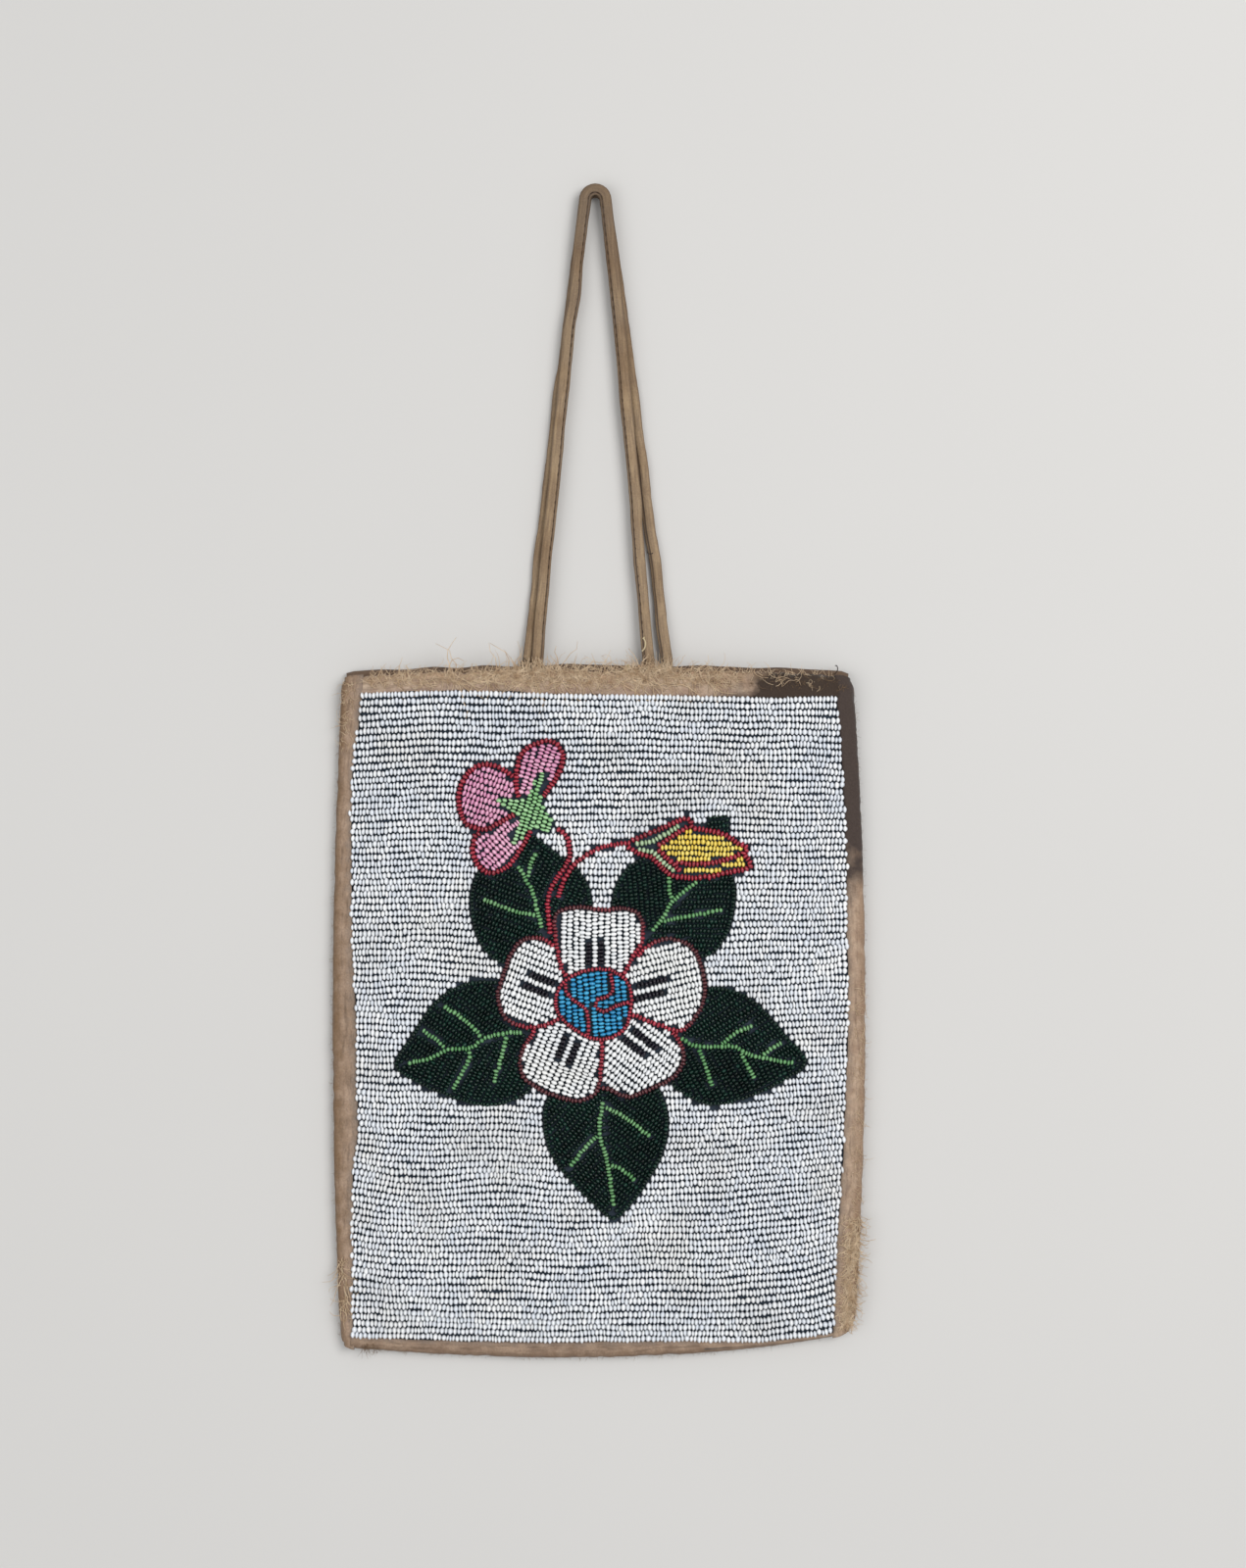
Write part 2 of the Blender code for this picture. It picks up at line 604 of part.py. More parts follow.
def rib_lines(bm, bands, valley, crest):
    """Thickens a flat grid upwards and makes count ridges across each band (low, high, count)."""
    made = bmesh.ops.extrude_face_region(bm, geom=bm.faces)
    top = [item for item in made["geom"] if isinstance(item, bmesh.types.BMVert)]
    bmesh.ops.translate(bm, verts=top, vec=(0, 0, valley))
    for low, high, count in bands:
        ends = (low, high)
        sides = [edge for edge in bm.edges
                 if all(vert.co.z > valley / 2 for vert in edge.verts)
                 and all(min(abs(vert.co.y - end) for vert in edge.verts) < 1e-6 for end in ends)]
        bmesh.ops.subdivide_edges(bm, edges=sides, cuts=2 * count - 1)
        for vert in bm.verts:
            line = (vert.co.y - low) / (high - low) * 2 * count
            if vert.co.z > valley / 2 and 0 < line < 2 * count and round(line) % 2:
                vert.co.z = crest


def cut(obj, others):
    for other in others:
        if near(obj, other):
            boolean(obj, other, "DIFFERENCE")


def box_of(obj):
    corners = [obj.matrix_world @ Vector(corner) for corner in obj.bound_box]
    return [(min(c[i] for c in corners), max(c[i] for c in corners)) for i in range(2)]


def near(first, second):
    """Whether the two objects' boxes meet as seen from above."""
    return all(a[0] < b[1] and b[0] < a[1] for a, b in zip(box_of(first), box_of(second)))


def bodies(obj):
    """The separate closed shells of a mesh object, as lists of face numbers, the largest first."""
    bm = bmesh.new()
    bm.from_mesh(obj.data)
    bm.faces.ensure_lookup_table()
    left, found = set(bm.faces), []
    while left:
        body, edge = set(), [left.pop()]
        while edge:
            face = edge.pop()
            body.add(face)
            links = [link for link in face.edges if link.is_manifold]
            beside = {other for link in links for other in link.link_faces} & left
            left -= beside
            edge += beside
        found.append(body)
    found.sort(key=lambda body: -sum(face.calc_area() for face in body))
    numbers = [[face.index for face in body] for body in found]
    bm.free()
    return numbers


def keep_body(obj, rank=0):
    """Leaves only one of the object's separate bodies: the largest, or the one of this rank."""
    wanted = set(bodies(obj)[rank])
    bm = bmesh.new()
    bm.from_mesh(obj.data)
    unwanted = [face for face in bm.faces if face.index not in wanted]
    bmesh.ops.delete(bm, geom=unwanted, context="FACES")
    bm.to_mesh(obj.data)
    bm.free()
    return obj


def join_flats(obj):
    """Joins up the flat faces that a cut divided."""
    bm = bmesh.new()
    bm.from_mesh(obj.data)
    bmesh.ops.dissolve_limit(bm, angle_limit=FLAT, verts=bm.verts, edges=bm.edges)
    bmesh.ops.triangulate(bm, faces=bm.faces)
    bm.to_mesh(obj.data)
    bm.free()
    return obj


def finish(obj, colour):
    """Applies the cuts, keeps the main body and paints it."""
    return paint(keep_body(settle(obj)), colour)


# The beadwork is laid from the top layer down, and each piece is cut by the covers of those
# before it. A cover is the footprint of a finished shape with the gap around it.

def add_cover(name, loop):
    covers.append(prism(name + "_cover", loop))


def groove(line, diameter):
    """A cutter that leaves room for a string and a thin floor under it."""
    loop = ribbon(line, diameter / 2 + GAP, GAP)
    return prism("groove", loop, low=BEAD_BASE + GROOVE_FLOOR)


def lay_string(name, line, colour, closed=False):
    obj = string(name, line, closed, BEAD_BASE + BEAD / 2, BEAD)
    cut(obj, covers)
    return finish(obj, colour)


def forked_string(name, lines, level):
    """A fine string with side strings joined to it."""
    obj = string(name, lines[0], False, level, VEIN_STRING)
    for line in lines[1:]:
        side = string(name + "_side", line, False, level, SIDE_VEIN)
        cutters.objects.link(side)
        bag.objects.unlink(side)
        boolean(obj, as_cutter(side), "UNION")
    return obj


def lay_raised_strings(name, lines, colour):
    """Fine strings joined into one piece, lying in the grooves of the field below."""
    obj = forked_string(name, lines, BEAD_BASE + GROOVE_FLOOR + GAP + VEIN_STRING / 2)
    cut(obj, covers)
    return finish(obj, colour)


def lay_field(name, loop, angle, colour, grooves=(), fold=90, holes=()):
    """Strings at an angle within an outline."""
    xs = [spot.x for spot in loop]
    ys = [spot.y for spot in loop]
    middle = Vector(((min(xs) + max(xs)) / 2, (min(ys) + max(ys)) / 2))
    reach = max((spot - middle).length for spot in loop) + ROW_PITCH
    across = angle + 90 if fold == 90 else angle
    obj = strung_plate(name, middle, math.radians(across), reach, math.radians(fold))
    boolean(obj, prism(name + "_outline", loop), "INTERSECT")
    cut(obj, covers)
    cut(obj, list(grooves) + list(holes))
    return join_flats(finish(obj, colour))


def lay_petal(name, points, angle, colour, strings=()):
    """A petal: its outline string, and the strings inside it with their grooves."""
    loop = outline(points)
    lay_string(name + "_edge", loop, "red_beads", closed=True)
    inner = grown(loop, -BEAD / 2 - GAP)
    grooves = [groove(line, VEIN_STRING) for line in strings]
    lay_field(name + "_beads", inner, angle, colour, grooves)
    add_cover(name, grown(loop, BEAD / 2 + GAP))


def build_rose():
    curls = {name: laid(points) for name, points in CURLS.items()}
    for name, line in curls.items():
        lay_raised_strings(f"centre_curl_{name}", [line], "red_beads")
    lay_petal("centre", CENTRE, 90, "blue_beads", curls.values())
    for name, points in PETALS.items():
        stamens = [laid(line) for petal, line in STAMENS if petal == name]
        for number, line in enumerate(stamens, 1):
            lay_raised_strings(f"stamen_{name}_{number}", [line], "dark_beads")
        lay_petal(f"petal_{name}", points, PETAL_STRINGS[name], "cream_beads", stamens)


def build_stems():
    for name, points in STEMS.items():
        line = smooth(laid(points), False, STRING_STEPS)
        lay_string(f"stem_{name}", line, "red_beads")
        add_cover(f"stem_{name}", ribbon(line, BEAD / 2 + GAP, GAP))


def build_pink_flower():
    loop = outline(CALYX)
    lay_field("pink_calyx", loop, 75, "calyx_beads")
    add_cover("pink_calyx", grown(loop, GAP))
    for name, points in PINK_PETALS.items():
        lay_petal(f"pink_petal_{name}", points, PINK_STRINGS[name], "pink_beads")


def build_bud():
    loop = outline(BUD)
    inner = grown(loop, -BEAD / 2 - GAP)
    inside = prism("bud_inside", inner)
    lay_string("bud_edge", loop, "red_beads", closed=True)
    holes = []
    forks = (("bud_calyx", BUD_CALYX, "pale_beads"), ("bud_inner", BUD_INNER, "red_beads"))
    for name, lines, colour in forks:
        lines = [laid(line) for line in lines]
        obj = forked_string(name, lines, BEAD_BASE + VEIN_STRING / 2)
        boolean(obj, inside, "INTERSECT")
        cut(obj, covers)
        finish(obj, colour)
        for line in lines:
            holes.append(prism(name + "_room", ribbon(line, VEIN_STRING / 2 + GAP, GAP)))
    across = laid(BUD_ACROSS)
    lay_raised_strings("bud_across", [across], "red_beads")
    lay_field("bud_beads", inner, 0, "yellow_beads", [groove(across, VEIN_STRING)], holes=holes)
    add_cover("bud", grown(loop, BEAD / 2 + GAP))


def build_leaves():
    loop = outline(TIP_LEAF)
    lay_field("leaf_tip_beads", loop, 60, "green_beads")
    add_cover("leaf_tip", grown(loop, GAP))
    for name, points in LEAVES.items():
        ribs = [laid(line) for line in (RIBS[name], *VEINS[name])]
        lay_raised_strings(f"leaf_{name}_veins", ribs, "vein_beads")
        base, tip = laid(LEAF_AXES[name])
        angle = math.degrees(math.atan2(tip.y - base.y, tip.x - base.x))
        loop = outline(points)
        lay_field(f"leaf_{name}_beads", loop, angle, "green_beads",
                  [groove(line, VEIN_STRING) for line in ribs], fold=LEAF_FOLD)
        add_cover(f"leaf_{name}", grown(loop, GAP))


def build_ground():
    """The white strings around the flowers, on the same lines as the cloth below them."""
    columns = mirrored([FIELD_SIDE, FIELD_SIDE + SHOULDER])
    rows = field_rows()
    bands = []
    for low, high in zip(rows, rows[1:]):
        bands.append((low, high, max(1, round((high - low) / ROW_PITCH))))
    bm = bmesh.new()
    bmesh.ops.create_grid(bm, x_segments=len(columns) - 1, y_segments=len(rows) - 1, size=1)
    for vert in bm.verts:
        vert.co.x = columns[round((vert.co.x + 1) / 2 * (len(columns) - 1))]
        vert.co.y = rows[round((vert.co.y + 1) / 2 * (len(rows) - 1))]
    rib_lines(bm, bands, VALLEY, BEAD)
    for vert in bm.verts:
        c, r, z = vert.co
        vert.co = (*place(c, r), front_level(c, r) + FRONT_CLOTH + GAP + z)
    bmesh.ops.triangulate(bm, faces=bm.faces, quad_method="SHORT_EDGE")
    obj = mesh_object("ground_beads", bm, bag)
    cut(obj, covers)
    obj = settle(obj)
    if len(bodies(obj)) > 1:
        patch = obj.copy()
        patch.data = obj.data.copy()
        patch.name = "ground_patch"
        bag.objects.link(patch)
        paint(join_flats(keep_body(patch, 1)), "white_beads")
    paint(join_flats(keep_body(obj)), "white_beads")


def build():
    build_pouch()
    build_strips()
    build_straps()
    build_rose()
    build_stems()
    build_pink_flower()
    build_bud()
    build_leaves()
    build_ground()


clear_scene()
bag = new_collection("beaded_bag")
cutters = new_collection("cutters")
covers = []
build()
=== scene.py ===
"""Dresses the beaded bag's frame and lays it on a pale floor.

The bag lies on its back with its straps stretched out above the mouth, and the camera looks
straight down on it. Every seed bead is a piece of its own shape: the white ground and the flowers
are laid as strings, from the top layer of the drawing down, so that each field stops at the
shapes that cover it. The cloth, the folded strips and the straps are closed sheets. Lengths are
in metres, and the drawing of the flowers is in millimetres.
"""

from __future__ import annotations

import json
import logging
import math
from collections.abc import Sequence
from dataclasses import dataclass
from enum import Enum
from functools import reduce

import bpy
import numpy as np
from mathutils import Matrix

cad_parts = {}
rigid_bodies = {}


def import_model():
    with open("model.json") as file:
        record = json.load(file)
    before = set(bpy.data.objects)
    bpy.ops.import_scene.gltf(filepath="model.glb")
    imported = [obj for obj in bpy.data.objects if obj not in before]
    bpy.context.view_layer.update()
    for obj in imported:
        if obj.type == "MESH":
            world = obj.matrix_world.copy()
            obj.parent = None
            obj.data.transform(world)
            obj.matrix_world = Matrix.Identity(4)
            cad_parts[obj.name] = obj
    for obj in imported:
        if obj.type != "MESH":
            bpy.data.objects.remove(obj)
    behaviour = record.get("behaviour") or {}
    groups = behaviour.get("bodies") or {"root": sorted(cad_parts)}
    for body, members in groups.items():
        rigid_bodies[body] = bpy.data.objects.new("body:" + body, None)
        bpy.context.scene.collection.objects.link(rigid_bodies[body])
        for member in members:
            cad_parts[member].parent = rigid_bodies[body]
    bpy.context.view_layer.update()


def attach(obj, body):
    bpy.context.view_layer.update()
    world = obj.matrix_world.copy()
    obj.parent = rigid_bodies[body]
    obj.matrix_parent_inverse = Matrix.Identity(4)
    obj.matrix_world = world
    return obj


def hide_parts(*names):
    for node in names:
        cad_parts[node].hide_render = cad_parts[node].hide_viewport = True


LOG = logging.getLogger("beaded_bag")
SEED = 41
MM = 0.001
TINY = 1e-12
UPWARDS = np.array([0.0, 0.0, 1.0])

# How near to a shape its depth is measured, and how low a fibre may lie, in metres.
NEAR = 0.004
LOWEST = 0.0001

# The fields of noise have their origin near the middle of the pouch.
MIDDLE_X = 0.085
MIDDLE_Y = 0.11

Array = np.ndarray
Tree, Socket = bpy.types.NodeTree, bpy.types.NodeSocket
Object, Material = bpy.types.Object, bpy.types.Material
Points = Sequence[tuple[float, float]]
Colour = tuple[float, float, float, float]


# The drawing of the flowers, in millimetres from the middle of the rose.

PETALS: dict[str, Points] = {
    "top": ((-9, 13), (-12, 20), (-13, 28), (-12.5, 34), (-5.5, 36), (2.5, 35), (10, 35.5),
            (15, 33), (16, 25.5), (13, 20), (8, 12), (0, 8)),
    "left": ((-4, 13), (-12, 21.5), (-17, 25.5), (-24, 25), (-28, 20), (-30, 14), (-32, 8),
             (-31, 2), (-27.5, -2), (-20, -3.5), (-12, -1), (-4, 4)),
    "right": ((5, 13), (12, 17.5), (18, 23.5), (25, 25.5), (32, 23), (35.5, 16), (36.5, 8),
              (34.5, 1.5), (29, -4.5), (22, -3), (14, 0), (5, 3)),
    "lower_left": ((-4, 0), (-16, 0), (-21, -6.5), (-24.5, -13), (-23.5, -20), (-17, -24.5),
                   (-10, -27), (-4, -27.5), (1, -24), (2.2, -16), (2, -8)),
    "lower_right": ((-2, -4), (-2, -13), (-1, -21), (6, -24.5), (11.5, -26.5), (18, -24),
                    (26, -20), (29.5, -14), (27.5, -7.5), (20, 0), (8, 2)),
}
PETAL_STRINGS: dict[str, float] = {
    "top": 90, "left": -22, "right": 14, "lower_left": 68, "lower_right": -38,
}
STAMENS: tuple[Points, ...] = (
    ((-2.5, 23), (-1.8, 18.5)), ((2.5, 23.5), (2.5, 18.5)), ((-20, 14), (-14.5, 11.5)),
    ((-22.5, 9), (-16.5, 7.5)), ((15, 10.3), (22.5, 12)), ((15, 5.5), (22, 8)),
    ((-10, -8), (-12, -12.5)), ((-6, -10), (-8, -14.5)), ((13.5, -5.5), (19.5, -10)),
    ((11, -8), (16, -12)),
)
CENTRE: Points = ((-8, 13), (0, 15.5), (7, 14.5), (11.5, 10), (12, 2.5), (9, -5), (1, -7.5),
                  (-7, -4), (-12.5, 2), (-12, 8.5))
CURLS: tuple[Points, ...] = (
    ((-9.3, 11.0), (-9.0, 7.6), (-5.4, 4.2), (-2.9, 2.4), (-2.1, -0.5), (-2.1, -6.2)),
    ((5.0, 14.2), (6.2, 9.4), (4.4, 6.7), (1.2, 5.6), (0.5, 3.2), (3.2, 1.6), (7.2, 3.6),
     (11.6, 4.8)),
)
LEAVES: dict[str, Points] = {
    "left": ((-66.5, -16), (-61, -6.5), (-53.5, 4.5), (-44.5, 10.5), (-34, 12), (-26, 8),
             (-20, -3), (-20, -14), (-21, -24), (-28.5, -28.5), (-38, -29.5), (-50, -26),
             (-60, -21.5)),
    "right": ((70.5, -15.5), (63.5, -6), (54.5, 4), (46, 9), (37, 9.5), (30, 4), (26, -5),
              (24, -14), (25, -22), (30.5, -26.5), (38.5, -29.5), (48, -28), (59, -23.5)),
    "bottom": ((-16, -27), (-17, -37), (-14.5, -46), (-8, -54.5), (0, -62.5), (6, -67),
               (11.5, -63), (20, -51), (24, -40.5), (24, -30), (19, -21), (6, -18), (-8, -20)),
    "upper_left": ((-23, 60.5), (-14, 55), (-5, 48), (-1, 40), (-2, 31), (-8, 23), (-18, 16),
                   (-29, 16.5), (-37, 22), (-41, 32), (-40.5, 44), (-34, 54)),
    "upper_right": ((13, 51), (8, 45.5), (5.5, 37), (8, 30), (14, 23), (22, 19), (31, 19),
                    (38.5, 20), (44, 26.5), (46.5, 36), (46, 46), (38, 53), (24, 54.5)),
}
LEAF_AXES: dict[str, Points] = {
    "left": ((-21, -5), (-66, -16)), "right": ((27, -6), (70, -16)),
    "bottom": ((3, -22), (6.5, -67)), "upper_left": ((-15, 24), (-27, 54)),
    "upper_right": ((17, 25), (37, 47)),
}
# The directions, in degrees, in which the strings of a field run; a leaf's fold away from its rib.
CENTRE_STRINGS = 94.0
CALYX_STRINGS = 72.0
BUD_STRINGS = 0.0
TIP_STRINGS = 8.0
LEAF_FOLD = 48.0
RIBS: dict[str, Points] = {
    "left": ((-24, -5), (-32.5, -6), (-37, -7.5), (-41.5, -10.5), (-49, -11), (-55, -14),
             (-62, -15.3)),
    "right": ((28.5, -7), (33, -9.5), (37, -10), (46, -10), (50, -12), (57, -14), (66, -15.2)),
    "bottom": ((3, -28), (1.7, -34), (2, -40.5), (4, -47), (5.2, -54), (6.3, -62.5)),
    "upper_left": ((-17.5, 29), (-19, 35), (-21, 42), (-25.5, 49.5)),
    "upper_right": ((19, 28), (23, 33), (26, 38), (34, 44.5)),
}
VEINS: dict[str, tuple[Points, ...]] = {
    "left": (((-37, -7.5), (-41.5, -2.5), (-50, 3.5)), ((-49, -11), (-52, -8), (-57, -4.5)),
             ((-41.5, -10.5), (-42, -15), (-47, -24)), ((-29, -5.5), (-30.5, -12), (-33.5, -22))),
    "right": (((41, -10), (46, -6), (52.5, -3)), ((55, -13.5), (58, -11), (62, -8.5)),
              ((34, -9.7), (36.5, -16), (39, -23)), ((47.5, -10.5), (50, -15), (53, -20.5))),
    "bottom": (((2.6, -29.5), (9, -32.5), (18.5, -39.5)),
               ((2, -38.5), (-3.5, -43.5), (-8, -49.5)),
               ((4.4, -48.5), (9, -50.5), (13.5, -54))),
    "upper_left": (((-22.3, 44.5), (-21.5, 49), (-19.5, 54)),
                   ((-18.5, 33), (-26, 34.5), (-37, 38.5))),
    "upper_right": (((25.8, 37.5), (24.8, 42), (24.5, 46)),
                    ((21.5, 31), (30, 32.8), (42.5, 35))),
}
TIP_LEAF: Points = ((37, 63), (38, 65.5), (44, 66), (44.5, 61), (41, 56), (36, 56))
STEMS: dict[str, Points] = {
    "left": ((-12.5, 62), (-9.5, 59.5), (-8.3, 55), (-9, 50.5), (-14, 43), (-15.5, 36.5),
             (-14.5, 27)),
    "right": ((-12, 39), (-10.5, 44), (-6.3, 50.5), (1, 55), (7, 56.6), (12, 57)),
}
PINK_PETALS: dict[str, Points] = {
    "upper": ((-25, 72), (-26, 79), (-24.5, 86), (-20, 89.5), (-14, 90.5), (-10.5, 86.5),
              (-11.5, 81), (-15, 75), (-21, 68.5)),
    "middle": ((-23, 73), (-28.5, 80), (-36, 83), (-42.5, 79.5), (-45, 71.5), (-43, 64),
               (-37, 61.5), (-31, 64), (-25, 68)),
    "lower": ((-27, 66), (-34, 63), (-39.5, 59), (-40, 52.5), (-36, 47.5), (-30, 48.5), (-25, 54),
              (-21, 63)),
}
PINK_STRINGS: dict[str, float] = {"upper": 72, "middle": -20, "lower": 42}
CALYX: Points = ((-19.5, 79), (-16, 80.2), (-17.2, 74), (-16.5, 68.5), (-13.2, 64), (-15.5, 60.5),
                 (-21, 61.5), (-26, 56.5), (-28.2, 58.8), (-25, 65), (-32, 70), (-31, 72),
                 (-24.5, 71.5), (-21.3, 74))
BUD: Points = ((10.8, 57), (16, 59.3), (24, 62.6), (29.8, 65), (31.8, 64.2), (32.4, 62.2),
               (37.5, 61.2), (43, 59.8), (47, 57.2), (50.6, 55.4), (49.4, 53.4), (51.7, 49.4),
               (44, 47.3), (34, 45.6), (25, 46.8), (19, 52.2), (14, 53.8))
BUD_FORK: tuple[Points, ...] = (
    ((13.4, 56.7), (18.2, 57.3), (22.8, 59.6), (28.2, 62.8)),
    ((13.4, 54.9), (18.6, 54.2), (22.6, 50.9), (26.6, 47.5)),
)
BUD_INNER: tuple[Points, ...] = (
    ((20.8, 56.0), (25.2, 58.8), (30.8, 62.5)),
    ((20.8, 55.0), (24.2, 51.9), (28.6, 47.7)),
)
BUD_ACROSS: Points = ((26.6, 50.8), (31.0, 50.2), (36.5, 50.3), (42.5, 51.2), (48.4, 53.2))

# The side of the bud's inner line where no yellow beads lie.
BUD_BASE: Points = ((5, 44), (29.6, 44), (28.8, 47.8), (24.4, 51.9), (21.0, 55.4), (25.4, 58.6),
                    (31.0, 62.4), (31, 68), (5, 68))


class Side(Enum):
    """The edges of the pouch that a folded strip covers."""

    LEFT = "left"
    RIGHT = "right"
    BOTTOM = "bottom"
    TOP = "top"


# How far from each edge the beads begin, in millimetres, at places along the edge from its middle.

INSETS: dict[Side, Points] = {
    Side.LEFT: ((-108, 4.6), (-80, 5.8), (-54, 6.5), (-38, 8.6), (-21, 8.1), (-5, 8.3),
                (11, 7.5), (24, 6.7), (57, 5.7), (80, 5.2), (88, 5.9), (94, 6.7), (106, 7.5)),
    Side.RIGHT: ((-107, 7.5), (-80, 8.1), (-47, 6.9), (-21, 6.5), (-5, 5.9), (28, 6.2),
                 (60, 5.7), (76, 5.6), (90, 6.0), (104, 6.4)),
    Side.BOTTOM: ((-80, 4.6), (-30, 5.5), (0, 5.9), (30, 5.2), (55, 2.6), (75, 2.0)),
    Side.TOP: ((-78, 6.4), (-45, 6.7), (-20, 8.0), (5, 8.7), (57, 9.0), (72, 7.9), (80, 7.6)),
}

# Each corner of the pouch: whether it is at the right, whether it is at the top, and its radius
# in millimetres.

CORNERS: tuple[tuple[bool, bool, float], ...] = (
    (False, False, 4.6), (True, False, 6.3), (False, True, 3.6), (True, True, 4.2),
)


# Sizes

@dataclass(frozen=True)
class PouchSize:
    """The pouch's sizes, and the places on it that a point of the flat cloth takes."""

    top_width: float = 0.1710
    bottom_width: float = 0.1720
    side_height: float = 0.2245
    left_swell: float = 0.0030
    right_swell: float = 0.0040
    top_arch: float = 0.0023
    bottom_sag: float = 0.0038
    corner_lift: float = 0.0050
    cloth: float = 0.0010
    strip_cloth: float = 0.0008
    side_strip: float = 0.0070
    bottom_strip: float = 0.0054
    hem_depth: float = 0.0088
    back_reach: float = 0.0016
    mouth_height: float = 0.0047
    shoulder: float = 0.0100
    corner_ramp: float = 0.0150
    back_slope: float = 0.0080
    gap: float = 0.0003
    left_clear: float = 0.0131
    right_clear: float = 0.0120
    top_clear: float = 0.0145
    bottom_clear: float = 0.0405

    @property
    def plateau(self) -> float:
        """Height of the underside of the front cloth in the middle.

        Returns:
            The height above the floor.
        """
        return self.cloth + self.mouth_height + self.strip_cloth + self.gap

    @property
    def edge(self) -> float:
        """Distance of the panels from the outer edge of the strips.

        Returns:
            The distance.
        """
        return self.strip_cloth + self.gap

    @property
    def field_side(self) -> float:
        """Distance of the beads from the side edges.

        Returns:
            The distance.
        """
        return self.side_strip + self.gap

    @property
    def field_bottom(self) -> float:
        """Distance of the beads from the bottom edge.

        Returns:
            The distance.
        """
        return self.bottom_strip + self.gap

    @property
    def field_top(self) -> float:
        """Distance of the beads from the top edge.

        Returns:
            The distance.
        """
        return self.hem_depth + self.gap

    def inset(self, side: Side, run: Array) -> Array:
        """Finds how far from an edge the beads begin, which changes along the edge.

        Args:
            side: The edge.
            run: Distance along it from its middle.

        Returns:
            The distance of the first beads from the edge.
        """
        table = np.array(INSETS[side]) * MM
        return np.interp(run, table[:, 0], table[:, 1])

    def rounded(self, c: Array, r: Array) -> tuple[Array, Array]:
        """Rounds the pouch's corners.

        Args:
            c: Distance from the left edge.
            r: Distance from the bottom edge.

        Returns:
            The moved distances.
        """
        for right, top, radius in CORNERS:
            size = radius * MM
            a = size - (self.top_width - c if right else c)
            b = size - (self.side_height - r if top else r)
            near = (a > 0) & (b > 0)
            pull = np.where(near, 1 - np.maximum(a, b) / np.maximum(np.hypot(a, b), TINY), 0)
            c = c + np.where(near, a, 0) * pull * (-1 if right else 1)
            r = r + np.where(near, b, 0) * pull * (-1 if top else 1)
        return c, r

    def place(self, c: Array, r: Array) -> tuple[Array, Array]:
        """Turns distances on the flat cloth into places on the bag.

        Args:
            c: Distance from the left edge.
            r: Distance from the bottom edge.

        Returns:
            The x and y of each point.
        """
        u, v = c / self.top_width, r / self.side_height
        bow = 4 * v * (1 - v)
        spread = (self.bottom_width - self.top_width) * (1 - v) / 2
        left = -spread - self.left_swell * bow
        right = spread + self.right_swell * bow
        bottom = -self.bottom_sag * 4 * u * (1 - u) + self.corner_lift * np.clip(u, 0, 2) ** 4
        top = self.top_arch * 4 * u * (1 - u)
        x = c - self.top_width / 2 + left * (1 - u) + right * u
        y = r - self.side_height / 2 + bottom * (1 - v) + top * v
        return x, y

    def front_under(self, c: Array, r: Array) -> Array:
        """Height of the underside of the front cloth.

        Args:
            c: Distance from the left edge.
            r: Distance from the bottom edge.

        Returns:
            The height at each point.
        """
        seat = self.strip_cloth + self.cloth + 2 * self.gap
        near_top = (r - self.side_height + self.corner_ramp) / (self.corner_ramp - self.field_top)
        seat = seat + self.edge * np.clip(near_top, 0, 1)
        side = np.clip((np.minimum(c, self.top_width - c) - self.field_side) / self.shoulder, 0, 1)
        low = np.clip((r - self.field_bottom) / self.shoulder, 0, 1)
        return seat + (self.plateau - seat) * side * low

    def back_under(self, c: Array, r: Array) -> Array:
        """Height of the underside of the back cloth.

        Args:
            c: Distance from the left edge.
            r: Distance from the bottom edge.

        Returns:
            The height at each point.
        """
        from_side = np.minimum(c, self.top_width - c) - self.side_strip
        side = np.clip(from_side / self.back_slope, 0, 1)
        low = np.clip((r - self.bottom_strip) / self.back_slope, 0, 1)
        return self.edge * (1 - side * low)

    def laid(self, points: Points) -> Array:
        """Lays points of the drawing on the bag, with the clear ground around the flowers.

        Args:
            points: Places in the drawing, in millimetres.

        Returns:
            Their x and y on the bag, one row for each point.
        """
        shapes = [*PETALS.values(), *LEAVES.values(), *PINK_PETALS.values(), BUD, TIP_LEAF]
        drawn = np.array([point for shape in shapes for point in shape], float)
        low, high = drawn.min(0), drawn.max(0)
        middle_c, middle_r = np.array([self.top_width / 2]), np.array([self.side_height / 2])
        ends_c = np.array([self.field_side + self.left_clear,
                           self.top_width - self.field_side - self.right_clear])
        ends_r = np.array([self.field_bottom + self.bottom_clear,
                           self.side_height - self.field_top - self.top_clear])
        across = self.place(ends_c, middle_r)[0]
        up = self.place(middle_c, ends_r)[1]
        share = (np.array(points, float) - low) / (high - low)
        ends = np.stack([across, up], 1)
        return ends[0] + share * (ends[1] - ends[0])


@dataclass(frozen=True)
class BeadSize:
    """One seed bead, and how beads follow each other on their strings."""

    diameter: float = 0.00215
    length: float = 0.00137
    row_pitch: float = 0.0021
    sides: int = 7
    rim: float = 0.00054
    rim_angle: float = 60.0
    longest: float = 1.6
    length_share: float = 0.97
    # Where along the bead, from its middle, the painted shade at its ends begins.
    dark_from: float = 0.35
    size_spread: float = 0.075
    size_limit: float = 0.12
    length_spread: float = 0.16
    length_limits: tuple[float, float] = (0.62, 1.42)
    shortest_run: float = 0.7
    turn_spread: float = 0.07
    side_spread: float = 0.00011
    height_spread: float = 0.00005
    overlap: float = 0.26
    string_lift: float = 0.0002
    string_room: float = 0.92
    field_lift: float = 0.7
    field_bow: float = 0.0002
    sample: float = 0.0002

    def lift(self, size: float) -> float:
        """Finds how much a field of small beads is raised towards the usual ones.

        Args:
            size: How large the beads are beside the usual one.

        Returns:
            The height in metres.
        """
        return self.diameter * (1 - size) * self.field_lift


